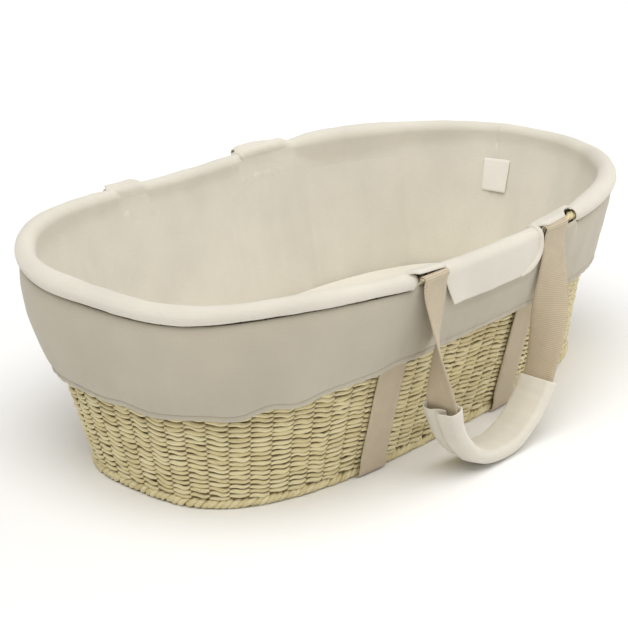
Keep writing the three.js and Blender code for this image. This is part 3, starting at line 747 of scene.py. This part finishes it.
def rim_border():
    return plait("rim_border_plait", rim_point, 1.0, RIM_ROPE_LENGTH, RIM_PLAIT, 31)


def stakes_piece():
    """The upright rods that the cords are woven round."""
    store = Store()
    for turn in lap(STAKES)[0]:
        path = wall_point(turn, np.linspace(9 * MM, rim_top(turn) - 6 * MM, 9), WALL_MIDDLE)
        # Painted shade: the stakes get a low shade value, as they sit back in the gaps.
        add_tube(store, path, 1.3 * MM, sides=6, loop=False, upright=(1, 0.01, 0), tone=0.3, shade=0.2)
    return store.build("wall_stakes", "straw")


BASE_ROWS = 24
BASE_PITCH = 6.5 * MM
COIL_HEIGHT = 6.7 * MM
COIL_SPACE = np.array([0.343, 0.1517])  # half the outermost coil, along and across


def woven_base():
    """Cords wound in ovals round rods that run across the base, seen from underneath."""
    store = Store()
    samples = 420
    rng = np.random.default_rng(71)
    turns = lap(samples, 0.0)[0]
    edge = floor_point(turns, COIL_HEIGHT, -13 * MM)
    for row in range(BASE_ROWS):
        scale = np.array([*(1 - row * BASE_PITCH / COIL_SPACE), 1])
        path = (edge - [BASE["middle"], 0, 0]) * scale + [BASE["middle"], 0, 0]
        rods = max(8, round(26 * (1 - row / BASE_ROWS) + 14)) * 2
        swing = np.cos(math.pi * (rods * np.arange(samples) / samples + row))
        path[:, 2] = (COIL_HEIGHT / MM + 1.3 * swing) * MM
        thick = (2.1 + 0.3 * np.abs(swing)) * MM
        # Painted shade: each cord lighter where it dips low and darker where it rises over the rods.
        shade = 0.35 + 0.6 * np.clip(-swing, 0, 1)
        tone = 0.5 + 0.3 * ripples(80 + row, turns, 0, TURN, 0.6) + rng.uniform(-0.1, 0.1)
        add_tube(store, path, thick, sides=6, squash=0.8, tone=tone[:, None], shade=shade[:, None])
    return store.build("woven_base_cords", "straw")


def make_shell():
    for key, band in ROW_BANDS.items():
        settle(woven_rows(f"woven_rows_{key}", *band), "woven_wall")
    settle(stakes_piece(), "woven_wall")
    for make in (foot_border, rim_border, woven_base):
        settle(make(), make.__name__)


# ---- Liner and skirt ----

CLOTH = 1.3 * MM
ROLL_RADIUS = 11.6 * MM
FACING_RADIUS = 8.6 * MM
FLAP_RADIUS = 10.8 * MM


def window(x, start, full, fade, end):
    """0 up to the start, 1 from full to fade, and 0 again past the end."""
    return smooth(start, full, x) * (1 - smooth(fade, end, x))


def opening_share(x, side_y):
    """1 inside the handle openings of either side, 0 elsewhere."""
    total = np.zeros(np.shape(x))
    for low, high in (OPENING_FOOT, OPENING_HEAD):
        total = np.maximum(total, window(x, low - 5 * MM, low + 4 * MM, high - 4 * MM, high + 5 * MM))
    return total * (np.abs(side_y) > 0.1)


def seam_ridge(run, turn, half_width):
    """1 on the upright seam at that turn of the wall, and 0 away from it."""
    return np.exp(-((run - along_wall(turn)) / half_width) ** 2)


def to_nearer_end(run):
    return np.minimum(run, run[-1] - run)


WRINKLE_OUT = 1.3  # mm that a wrinkle may press out towards the cords


def liner_face(turn, height):
    """The liner's inner face, counted from the wall's outer face, with its soft wrinkles."""
    run, up = along_wall(turn), height / RIM_HEIGHT
    soft = ripples(201, run, up * 0.05, WALL_LENGTH, 0.15, 0.35)
    pleat = ripples(202, run, up * 0.05, WALL_LENGTH, 0.05, 0.3)
    fade = np.sin(np.clip(0.08 + 0.84 * up, 0, 1) * math.pi) ** 0.6
    crease = ripples(203, run, up * 0.02, WALL_LENGTH, 0.024, 0.25)
    creased = smooth(-0.6, 0.8, pleat) * smooth(0.2, 0.4, up) * (1 - smooth(0.74, 0.84, up))
    wrinkle = 1.9 * soft + 1.4 * pleat + 1.1 * crease * creased
    wrinkle = WRINKLE_OUT - np.logaddexp(0, 2 * (WRINKLE_OUT - wrinkle)) / 2
    seam = seam_ridge(run, LABEL_SEAM_TURN, 2.2 * MM)
    return LINER_FACE + fade * wrinkle * MM + 1.6 * MM * seam


def liner_wall():
    turns = lap(640)[0][:, None]
    level = np.linspace(0, 1, 26)
    top = rim_top(turns) - 14 * MM
    height = 11.4 * MM + (top - 11.4 * MM) * level
    middle = wall_point(turns, height, liner_face(turns, height) + CLOTH / 2)
    return cloth("liner_wall_cloth", middle, CLOTH, "jersey", loop=True)


def arc_points(turns, radius, angles):
    angles = np.radians(angles)
    return rim_point(turns, radius * np.cos(angles), radius * np.sin(angles))


INNER_RUN = 36 * MM  # how far cloth that goes over the rim runs down inside
WALL_LEAN = 0.26
LINER_FROM_CORE = 8 * MM  # the liner's face at the rim, counted in from its core line


def over_rim(turns, radius, angles):
    """Cloth from the liner's wall up inside and over the rim. radius is for each angle."""
    turns = turns[:, None]
    down = np.linspace(1, 0, 14, endpoint=False) * INNER_RUN
    height = rim_top(turns) - down
    stand = (radius[:, :1] - LINER_FROM_CORE - WALL_LEAN * down) / MM
    stand = np.logaddexp(0, 1.3 * stand) / 1.3 * MM - 1.2 * MM * smooth(0.8, 1, down / INNER_RUN)
    inner = wall_point(turns, height, liner_face(turns, height) + CLOTH / 2 - stand)
    face = liner_face(turns, height[:, -1:]) - LINER_FACE
    slack = np.cos(np.radians(np.clip(angles, 90, 180))) ** 2 * face
    over = arc_points(turns, radius - CLOTH / 2 - slack, angles)
    return np.concatenate([inner, over], 1)


def liner_floor():
    edge = floor_point(lap(200, 0.0)[0], 11.6 * MM, -10.5 * MM)
    share = np.array([1, 0.97, 0.8, 0.6, 0.4, 0.2, 0.05, 0.012, 0.004, FLAT_CENTRE])
    centre = np.array([BASE["middle"], 0, 11.6 * MM])
    middle = centre + (edge[:, None] - centre) * share[:, None]
    piece = cloth("liner_floor_cloth", middle, CLOTH, "jersey", loop=True)
    straight_knit(piece)
    return piece


ROLL_TURNS = [0, 0.5, 0.9, 1.2, 2.0, 2.6, 3.0, 3.4, 3.8, 4.2, 5.0, 5.5, TURN]
ROLL_RADII = [10.6, 11.2, 14.2, 14.8, 12.0, 12.4, 14.0, 13.2, 10.6, 9.8, 13.0, 12.6, 10.6]
CREASE_RADIUS = 10.6 * MM
ROLL_END_RADIUS = 10.8 * MM
ROLL_END_X = -162 * MM


def roll_size(turns, from_end):
    """The roll's radius: full where it is padded, slimmer where it ends at an opening."""
    full = np.interp(np.mod(turns, TURN), ROLL_TURNS, ROLL_RADII)[:, None] * MM
    return full - np.maximum(full - ROLL_END_RADIUS, 0) * (1 - smooth(0, 42 * MM, from_end))


def roll_cover(name, start, end, seed):
    """The padded roll over the rim, gathered where it ends at the handle openings."""
    turns, run = even_turns(start, end, 520, share=1.0)
    length = run[-1]
    angles = np.linspace(180, -50, 34)
    run = run[:, None]
    from_end = to_nearer_end(run)
    round_it = np.radians(angles) * ROLL_RADIUS
    soft = ripples(seed, run, round_it, length, 0.12, 0.3)
    small = ripples(seed + 1, run, round_it, length, 0.035, 0.5)
    pleats = ripples(seed + 2, run, round_it, length, 0.008, 0.35)
    gathers = np.exp(-from_end / (13 * MM)) * pleats * (1 - smooth(120, 175, angles))
    outer = smooth(-50, 20, angles)
    radius = CREASE_RADIUS + (roll_size(turns, from_end) - CREASE_RADIUS) * outer
    radius = radius + 0.35 * MM * soft + 0.15 * MM * small + 0.55 * MM * gathers
    radius = radius - 1.5 * MM * (1 - smooth(-50, -34, angles))
    radius = radius - 1.6 * MM * (1 - smooth(0, 7 * MM, from_end))
    return cloth(name, over_rim(turns, radius, angles), CLOTH, "jersey")


WADDING_INSIDE = 6.8 * MM


def rim_wadding(name, start, end, seed):
    turns, run = even_turns(start, end, 260, share=1.0)
    turns, run = turns[2:-2], run[2:-2] - run[2]
    angles = np.linspace(214, -28, 14)
    from_end = to_nearer_end(run)[:, None]
    full = roll_size(turns, from_end) - 1.6 * MM * (1 - smooth(0, 12 * MM, from_end))
    thick = (full - CLOTH - WADDING_INSIDE) * (1 - 0.3 * (1 - smooth(-28, 10, angles)))
    lumps = ripples(seed, run[:, None], np.radians(angles) * 0.01, run[-1], 0.02, 1.0)
    radius = WADDING_INSIDE + thick / 2 - 0.4 * MM + 0.2 * MM * lumps
    return cloth(name, arc_points(turns[:, None], radius, angles), thick * 0.8, "wadding")


LIP_THICKNESS = 2.6 * MM
LIPS = {  # foot-ward end, head-ward end, rise at the top and at the edge
    "foot": (-168 * MM, -119 * MM, 3.2 * MM, 8.6 * MM),
    "head": (67 * MM, 110 * MM, 5.9 * MM, 10.8 * MM),
}
HEAD_LIP_END = 141 * MM  # the upper lip stands up past the webbing, over the bare rim
FAR_LIP_SHARE = 0.95  # the far side's lips are pulled flatter


def side_facing(name, side):
    """The liner's edge over the inner half of the rim. In each opening it forms the upper lip."""
    start, end = side_range(side, OPENING_HEAD[1] + 3 * MM, OPENING_FOOT[0] - 14 * MM)
    turns, run = even_turns(start, end, 260, share=1.0)
    x = rim_plan(turns)[0][:, None]
    level = np.linspace(0, 1, 20)
    last, top, far = 92 - 14 * opening_share(x, 1), 1.4 * MM * opening_share(x, 1), 0
    for from_x, to_x, at_top, at_end in LIPS.values():
        over = window(x, from_x - 14 * MM, from_x + 2 * MM, to_x - 8 * MM, to_x + 16 * MM)
        beyond = window(x, to_x - 8 * MM, to_x, HEAD_LIP_END - 8 * MM, HEAD_LIP_END + 8 * MM)
        if side > 0:
            over, beyond = over * FAR_LIP_SHARE, beyond * FAR_LIP_SHARE
        raised = np.maximum(over, beyond * (to_x > 0))
        last, top = last - 35 * over, top + at_top * raised
        far = far + (at_end - at_top) * over
    angles = 180 + (last - 180) * level
    rise, reach = 1 - smooth(92, 165, angles), 1 - smooth(43, 92, angles)
    soft = ripples(301 + side, run[:, None], level * 0.02, run[-1], 0.05)
    radius = FACING_RADIUS + top * rise + far * reach + 0.25 * MM * soft
    middle = over_rim(turns, radius, angles)
    edge = smooth(0.86, 0.97, np.linspace(0, 1, middle.shape[1]))
    thick = CLOTH + (LIP_THICKNESS - CLOTH) * edge * np.ones((len(turns), 1))
    return cloth(name, middle, thick, "jersey")


def side_range(side, head_x, foot_x):
    """The turns from the head-ward to the foot-ward x on one side, in rising order."""
    head, foot = rim_turn(head_x, side), rim_turn(foot_x, side)
    return (head, foot) if side > 0 else (foot, head)


SKIRT_SHARE = [0, 0.03, 0.1, 0.2, 0.5, 0.8, 0.93, 1]
SKIRT_OUT = [7.6, 9.6, 11.0, 11.8, 12.6, 9.8, 6.9, 3.8]
FOOT_BULGE_OUT = 4.5 * MM
SKIRT_SEAM_TURN = 3.45
HEM_LINE = [  # mm out from the wall and up from the hem's line
    (8.9, 6.9), (10.0, 5.8), (10.7, 4.0), (10.7, 2.0), (9.7, 0.3), (7.9, -0.3), (6.3, 0.6),
    (5.5, 3), (5.3, 12),
]
HEM_HEIGHT, HEM_HIGHEST_X = 151 * MM, 30 * MM
HEM_DROP, HEM_HALF_LENGTH = 33 * MM, 425 * MM
HEM_SWAY = [0.2, 0.7, 1, 1, 1, 1, 0.8, 0.5, 0.2]
SKIRT_FOOT_UP = 4.6 * MM
HEM_LIFT = 4.6  # mm that the hem rises at the foot end
HEAD_DRAWN_IN = 4.2 * MM  # how far the skirt is drawn in round the head end


def hem_line(turns):
    """The hem's height with the lift and sway its elastic gives it, strongest at the foot end."""
    x = rim_plan(turns)[0]
    height = HEM_HEIGHT - HEM_DROP * ((x - HEM_HIGHEST_X) / HEM_HALF_LENGTH) ** 2
    sway = (0.5 + 1.8 * smooth(-0.1, -0.36, x)) * ripples(411, along_wall(turns), 0, WALL_LENGTH, 0.075)
    return height + (HEM_LIFT * smooth(0.04, -0.24, x) + sway) * MM


def outer_skirt():
    turns = lap(720, 0.9)[0][:, None]
    run = along_wall(turns)
    x, y = rim_plan(turns)
    opening = opening_share(x, y)
    top = rim_height(x) - 9.5 * MM + 6.5 * MM * opening
    bottom = hem_line(turns) + SKIRT_FOOT_UP
    share = np.concatenate([np.linspace(1, 0.12, 26), [0.08, 0.04, 0.015, 0]])
    height = bottom + (top - bottom) * share
    fall = (1 - share) * 0.08
    soft = ripples(401, run, fall, WALL_LENGTH, 0.19, 0.5)
    folds = ripples(402, run, fall, WALL_LENGTH, 0.06, 0.3)
    gather = ripples(403, run, 0, WALL_LENGTH, 0.014, 0.0)
    foot = smooth(-0.15, -0.36, x)
    belly = np.sin(share * math.pi) ** 0.7
    out = np.interp(share, SKIRT_SHARE, SKIRT_OUT) * MM
    out = out - HEAD_DRAWN_IN * smooth(0.12, 0.33, x) * np.sin(share * math.pi)
    out = out + opening * 2.4 * MM * smooth(0.85, 1, share) + foot * FOOT_BULGE_OUT * belly
    out = out + belly * (1.0 * MM * soft + 0.45 * MM * folds) + 0.35 * MM * (1 - share) ** 3 * gather
    seam = seam_ridge(run, SKIRT_SEAM_TURN, 1.6 * MM)
    out = out - 0.9 * MM * seam * smooth(0, 0.1, share) - CLOTH / 2
    return cloth("outer_skirt_cloth", wall_point(turns, height, out), CLOTH, "skirt_cloth", loop=True)


def skirt_hem():
    """The folded hem: down the outside, round its lower edge and up again behind the elastic."""
    turns = lap(900, 0.6)[0][:, None]
    gather = ripples(403, along_wall(turns), 0, WALL_LENGTH, 0.014, 0.0)
    outs, ups = np.array(HEM_LINE).T * MM
    out = outs + 0.5 * MM * gather * np.array(HEM_SWAY) - CLOTH / 2
    middle = wall_point(turns, hem_line(turns) + ups, out)
    return cloth("skirt_hem_fold", middle, CLOTH, "skirt_cloth", loop=True)


ELASTIC_BAND = (8.1 * MM, 1.3 * MM, 6.2 * MM, 1.2 * MM)  # out, lower edge, upper edge, thickness


def hem_elastic():
    out, lower, upper, thickness = ELASTIC_BAND
    turns = lap(480, 0.6)[0][:, None]
    middle = wall_point(turns, hem_line(turns) + np.linspace(lower, upper, 4), out)
    return cloth("hem_elastic_band", middle, thickness, "elastic", loop=True)


def make_liner():
    near_foot, near_head = rim_turn(ROLL_END_X, -1), rim_turn(OPENING_HEAD[1], -1)
    far_foot, far_head = rim_turn(ROLL_END_X, 1), rim_turn(OPENING_HEAD[1], 1)
    foot_run, head_run = (far_foot, near_foot), (near_head - TURN, far_head)
    pieces = {
        "liner_wall": liner_wall(),
        "liner_floor": liner_floor(),
        "foot_rim_cover": roll_cover("foot_roll_cover", *foot_run, 501),
        "head_rim_cover": roll_cover("head_roll_cover", *head_run, 511),
        "near_rim_facing": side_facing("near_facing_cloth", -1),
        "far_rim_facing": side_facing("far_facing_cloth", 1),
        "outer_skirt": outer_skirt(),
        "skirt_hem": skirt_hem(),
        "hem_elastic": hem_elastic(),
        "foot_rim_wadding": rim_wadding("foot_roll_wadding", *foot_run, 521),
        "head_rim_wadding": rim_wadding("head_roll_wadding", *head_run, 531),
    }
    for node, piece in pieces.items():
        settle(piece, node)


# ---- Flaps ----

FLAP_FOOT_X = (-121 * MM, -105 * MM)  # the flap's foot edge, at the fold and at its tail
FLAP_HEAD_X = 61 * MM
FLAP_TAIL = 36 * MM
FLAP_CORNER = 45 * MM
FLAP_BEAD = 3.9 * MM


def tail_depth(x):
    """The tail's depth: even, with one large rounded corner at the head edge."""
    into = np.clip((x - (FLAP_HEAD_X - FLAP_CORNER)) / FLAP_CORNER, 0, 1)
    return FLAP_TAIL - (FLAP_TAIL - 8 * MM) * (1 - np.sqrt(1 - into ** 2))


def flap_grid(side, columns=90):
    over, down = np.linspace(0, 1, 20), np.linspace(0, 1, 18)[1:]
    u = np.linspace(0, 1, columns)[:, None]
    x = FLAP_FOOT_X[0] + (FLAP_HEAD_X - FLAP_FOOT_X[0]) * u
    turns = rim_turn(x, side)
    angles = 180 - 180 * over
    soft = ripples(601 + side, x, 0.03 * over, 0.4, 0.07, 0.4)
    from_edge = np.minimum(x - FLAP_FOOT_X[0], FLAP_HEAD_X - x)
    tucked = (1 - smooth(0, 14 * MM, from_edge)) * smooth(100, 160, angles)
    radius = FLAP_RADIUS + 0.3 * MM * soft - 3.6 * MM * tucked
    top = over_rim(turns[:, 0], radius, angles * np.ones((columns, 1)))
    tail_x = FLAP_FOOT_X[0] + (FLAP_FOOT_X[1] - FLAP_FOOT_X[0]) * down
    tail_x = tail_x + (FLAP_HEAD_X - tail_x) * u
    wave = 0.9 * MM * down * ripples(611 + side, tail_x, 0, 0.4, 0.05)
    proud = radius[:, -1:] - FLAP_RADIUS
    out = FLAP_RADIUS - CLOTH / 2 + proud + down * 0.4 * MM + wave
    tail = rim_point(rim_turn(tail_x, side), out, -down * tail_depth(tail_x))
    return np.concatenate([top, tail], 1)


def make_flap(prefix, side):
    """The flap, with the rolled edge that runs over the rim and round its head corner."""
    middle = flap_grid(side)
    flap = cloth(f"{prefix}_flap_cloth", middle, CLOTH, "jersey")
    head_edge = middle[-1]
    tail_edge = middle[::-1, -1][1:22]
    path = catmull(np.concatenate([head_edge[13:-4:3], tail_edge[::2]]), 64)
    along = np.linspace(0, 1, len(path))
    taper = (0.3 + 0.7 * smooth(0, 0.14, along)) * (1 - 0.55 * smooth(0.75, 1, along))
    store = Store()
    add_tube(store, path, FLAP_BEAD * taper, sides=10, loop=False, upright=(0.7, 0, -0.7))
    bead = store.build(f"{prefix}_flap_rolled_edge", "jersey")
    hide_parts(f"{prefix}_flap")
    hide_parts(f"{prefix}_flap_bead")
    for piece in (flap, bead):
        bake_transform(piece)


# ---- Webbing bands under the basket ----

def belly_side(line, lean, bow, v):
    """One side of a band, from the middle of the base up the wall to its opening, far side."""
    rim_z = float(rim_height(line))
    heights = np.concatenate([[4, 9, 15, 24], np.linspace(36, 228, 30), [rim_z / MM - 4]]) * MM
    share = heights / rim_z
    out = np.interp(heights, [0, 9 * MM, 16 * MM, 26 * MM, 0.228, rim_z], [5.4, 5.6, 4.8, 2.4, 2.3, 3.6]) * MM
    x = line + (lean * share + bow * BOW_FACTOR * share ** 2 * (1 - share))[:, None] + v
    turn = turn_at(x, np.broadcast_to(share[:, None], x.shape))
    wall = wall_point(turn, heights[:, None], out[:, None])
    wall[..., 0] = x
    base_y = np.linspace(0, BASE["width"] - 6 * MM, 14)
    base = np.stack(np.broadcast_arrays(line + v, base_y[:, None], 1.3 * MM), -1)
    edge = floor_point(turn_at(line + v, 0.0), 2.2 * MM, 2.5 * MM)[None]
    edge[..., 0] = line + v
    return np.concatenate([base, edge, wall])


FOLD_RADIUS = 1.6 * MM


def strap_fold(last_row):
    """The end of a band where it comes out of its opening and lies over the swing line."""
    axis_y, axis_z = HANDLE_AXIS
    angles = np.radians(np.linspace(195, 20, 12))
    y = axis_y + FOLD_RADIUS * np.cos(angles)
    z = axis_z + FOLD_RADIUS * np.sin(angles)
    rise = np.linspace(0.35, 0.9, 4)[:, None, None]
    fold = np.stack(np.broadcast_arrays(last_row[:, 0], y[:, None], z[:, None]), -1)
    climb = last_row + (fold[:1] - last_row) * rise
    return np.concatenate([climb, fold])


def belly_strap(key):
    line, lean, bow = STRAP_LINES[key]
    v = np.linspace(-0.5, 0.5, 9) * STRAP_WIDTH
    side = belly_side(line, lean, bow, v)
    side = np.concatenate([side, strap_fold(side[-1])])
    mirror = side[1:] * [1, -1, 1]
    path = np.concatenate([mirror[::-1], side])
    piece = cloth(f"{key}_belly_band", path, STRAP_THICKNESS, "webbing")
    settle(piece, f"{key}_belly_strap")


# ---- Handles ----

LOOP_POINTS = [
    (-142.5, 249), (-136, 207), (-132, 165), (-128, 125), (-122, 88), (-106, 53), (-79, 26),
    (-45, 13.5), (-12, 12.5), (21, 24), (47, 45), (65, 71), (77, 112), (84, 160), (86, 205), (86, 249),
]
LOOP_LENGTH = 0.62
GRIP_START, GRIP_END = 0.27, 0.685  # shares of the loop
FOOT_TWIST_END, HEAD_TWIST_START = 0.25, 0.7
LOOP_FINE = catmull(np.array(LOOP_POINTS) * MM, 801)


def quarter_twist(share):
    foot = np.clip(share / FOOT_TWIST_END, 0, 1) ** 1.3
    head = 1 - smooth(HEAD_TWIST_START, 0.99, share)
    return np.where(share < 0.5, foot, head)


def loop_frame(share, side):
    """The place, face and width directions of a handle's webbing along its loop."""
    grid, none = np.linspace(0, 1, len(LOOP_FINE)), np.zeros(len(share))
    x, z = sample(LOOP_FINE, share, grid).T
    dx, dz = unit(sample(unit(np.gradient(LOOP_FINE, axis=0)), share, grid)).T
    point = np.stack([x, none + side * HANDLE_AXIS[0], z], -1)
    tangent, inward = np.stack([dx, none, dz], -1), np.stack([-dz, none, dx], -1)
    angle = (quarter_twist(share) * math.pi / 2)[:, None]
    face = np.array([0, side, 0]) * np.cos(angle) + inward * np.sin(angle)
    return point, face, np.cross(tangent, face)


ROOT_RADIUS = 3.8 * MM


def handle_webbing(prefix, side):
    share = np.linspace(0, 1, 150)
    v = np.linspace(-0.5, 0.5, 9) * STRAP_WIDTH
    point, face, width = loop_frame(share, side)
    cup = 0.7 * MM * (1 - (2 * v / STRAP_WIDTH) ** 2) * np.sin(share * math.pi)[:, None]
    leg = point[:, None] + width[:, None] * v[:, None] + face[:, None] * cup[..., None]
    angles = np.radians(np.linspace(-38, 205, 16))
    roots = []
    for end in (0, -1):
        across = leg[end] - point[end]
        y = side * (HANDLE_AXIS[0] + ROOT_RADIUS * np.cos(angles))
        z = HANDLE_AXIS[1] + ROOT_RADIUS * np.sin(angles)
        centre = np.stack([np.full(len(angles), point[end][0]), y, z], -1)
        roots.append(centre[:, None] + across * [1, 0, 0])
    lean = smooth(0, 0.03, share) * smooth(0, 0.03, 1 - share)
    leg[..., 1] += side * (1 - lean)[:, None] * 1.6 * MM
    path = np.concatenate([roots[0][::-1], leg[1:-1], roots[1]])
    piece = cloth(f"{prefix}_handle_band", path, STRAP_THICKNESS, "webbing")
    settle(piece, f"{prefix}_handle_webbing", f"{prefix}_handle")


PAD = 3.2 * MM


def sleeve_outline():
    """The grip's padding in section: once round the webbing, with its two lips overlapping."""
    points = [(7, -2.6), (1, -3.0), (-4, -4.4), (-9, -6.4), (-15, -6.0)]
    left, right = np.linspace(0.5, math.pi - 0.2, 6), np.linspace(0.3, math.pi - 0.2, 8)
    points += [(-18.8 - 3.6 * math.sin(a), 0.8 - 5.2 * math.cos(a)) for a in left]
    points += [(-13, 6.3), (0, 6.9), (13, 6.3)]
    points += [(17.4 + 4.8 * math.sin(a), -0.5 + 6.8 * math.cos(a)) for a in right]
    points += [(12, -8.0), (6, -8.8), (2.5, -8.9), (0.5, -7.9)]
    return catmull(np.array(points) * MM, 56)


def grip_sleeve(prefix, side):
    share = np.linspace(GRIP_START - 0.004, GRIP_END + 0.004, 110)
    outline = sleeve_outline()
    point, face, width = loop_frame(share, side)
    run = (share - share[0]) * LOOP_LENGTH
    from_end = to_nearer_end(run)
    flare = 1 + 0.06 * np.exp(-from_end / (9 * MM))
    w = outline[:, 0] * flare[:, None]
    f = outline[:, 1] * (1 + np.where(share < 0.5, 0.5, 0.15) * np.exp(-from_end / (13 * MM)))[:, None]
    round_it = np.linspace(0, 0.13, len(outline))
    soft = ripples(701 + side, run[:, None], round_it, 0.3, 0.05, 0.4)
    crease = ripples(711 + side, run[:, None], round_it, 0.3, 0.02, 0.15)
    crease = np.clip(outline[:, 1] / (7 * MM), 0, 1) * crease
    f = f + 0.5 * MM * soft + 0.28 * MM * crease
    middle = point[:, None] + width[:, None] * w[..., None] + face[:, None] * f[..., None]
    thick = PAD * (1 - 0.35 * np.exp(-from_end / (2.5 * MM)))[:, None] * np.ones(len(outline))
    piece = cloth(f"{prefix}_grip_pad", middle, thick, "jersey")
    settle(piece, f"{prefix}_grip_sleeve", f"{prefix}_handle")


# ---- Mattress and label ----

MATTRESS_LOW, MATTRESS_TOP = 13.4 * MM, 69 * MM
MATTRESS_SEAM = (MATTRESS_LOW + MATTRESS_TOP) / 2


def mattress_half(name, levels, crown, seed):
    """A closed half: levels are (height, inset) from the seam out to the flat face."""
    turns, run = lap(360, 0.2)
    length = run[-1] + run[1]
    rings = [wall_point(turns, height, MATTRESS_FACE - inset) for height, inset in levels]
    height, edge = levels[-1][0], rings[-1]
    centre = np.array([BASE["middle"], 0, height])
    for share in (0.97, 0.93, 0.86, 0.76, 0.62, 0.46, 0.3, 0.15, 0.05, 0.012, 0.004, FLAT_CENTRE):
        ring = centre + (edge - centre) * [share, share, 1]
        dimple = 0.5 * MM * ripples(seed, run, share * 0.2, length, 0.12, 0.6)
        ring[:, 2] = height + (crown * (1 - share ** 3) + dimple * share) * np.sign(height - MATTRESS_SEAM)
        rings.append(ring)
    piece = cloth(name, np.stack(rings, 1), 1.2 * MM, "mattress_cloth", loop=True)
    straight_knit(piece)
    return piece


SEAM_GAP = 1.8 * MM
TOP_LEVELS = [
    (MATTRESS_SEAM + SEAM_GAP, 0.2 * MM), (MATTRESS_SEAM + 9 * MM, -0.6 * MM),
    (MATTRESS_TOP - 12 * MM, 0.2 * MM), (MATTRESS_TOP - 6 * MM, 1.6 * MM),
    (MATTRESS_TOP - 2.4 * MM, 4.5 * MM), (MATTRESS_TOP - 0.8 * MM, 9 * MM),
]
LOW_LEVELS = [
    (MATTRESS_SEAM - SEAM_GAP, 0.2 * MM), (MATTRESS_SEAM - 9 * MM, -0.6 * MM),
    (MATTRESS_LOW + 6 * MM, 1.2 * MM), (MATTRESS_LOW + 1.4 * MM, 5 * MM),
    (MATTRESS_LOW + 0.7 * MM, 9 * MM),
]
FOAM_LEVELS = [(16, 6), (19, 3), (34, 2.6), (50, 2.6), (62, 3.4), (65.5, 8)]
PIPING_RADIUS = 1.7 * MM


def mattress_piping():
    store = Store()
    add_tube(store, wall_point(lap(420, 0.2)[0], MATTRESS_SEAM, MATTRESS_FACE - 0.2 * MM), PIPING_RADIUS)
    return store.build("mattress_piping_cord", "mattress_cloth")


def mattress_foam():
    turns = lap(200, 0.2)[0]
    rings = [wall_point(turns, up * MM, MATTRESS_FACE - inset * MM) for up, inset in FOAM_LEVELS]
    centre = np.array([BASE["middle"], 0, 0])
    bottom, lid = (centre + (ring - centre) * [FLAT_CENTRE, FLAT_CENTRE, 1] for ring in (rings[0], rings[-1]))
    store = Store()
    store.add(np.stack([bottom, *rings, lid], 1), loop_u=True)
    return store.build("mattress_foam_block", "foam")


def make_mattress():
    top = mattress_half("mattress_cover_upper", TOP_LEVELS, 0.6 * MM, 801)
    low = mattress_half("mattress_cover_lower", LOW_LEVELS, 0.0, 811)
    piping, foam = mattress_piping(), mattress_foam()
    parts = {"cover_top": top, "cover_bottom": low, "piping": piping, "foam": foam}
    for part, piece in parts.items():
        settle(piece, f"mattress_{part}", "mattress")


LABEL_WIDTH, LABEL_TALL, LABEL_LOW = 38 * MM, 42 * MM, 168 * MM
LABEL_TURN = 0.24
LABEL_SEAM_TURN = 0.262


def make_label():
    """A plain tape on the inner head wall, with nothing on it."""
    turns, run = even_turns(0, 0.6, 601, share=0.78)
    middle_run = np.interp(LABEL_TURN, turns, run)
    across = np.linspace(-0.5, 0.5, 15)
    at = np.interp(middle_run + across * LABEL_WIDTH, run, turns)
    up = np.linspace(0, 1, 15)
    lift = 1.6 * MM + 0.9 * MM * np.sin(across * 4)[:, None] * up
    middle = wall_point(at[:, None], LABEL_LOW + LABEL_TALL * up, LINER_FACE - lift)
    label = cloth("care_label_tape", middle, 0.7 * MM, "label_tape")
    settle(label, "care_label")


# ---- The whole basket ----

def dress_hidden_parts():
    """CAD pieces that keep their own shape get a finished material."""
    kept = {
        "rim_hoop": "hoop_steel", "near_grip_fastener": "hook_tape", "far_grip_fastener": "hook_tape",
    }
    for node, key in kept.items():
        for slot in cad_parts[node].material_slots:
            slot.material = FINISHES[key]


make_camera()
make_stage()
make_shell()
make_liner()
for strap in STRAP_LINES:
    belly_strap(strap)
for prefix, side in (("near", -1), ("far", 1)):
    make_flap(prefix, side)
    handle_webbing(prefix, side)
    grip_sleeve(prefix, side)
make_mattress()
make_label()
dress_hidden_parts()
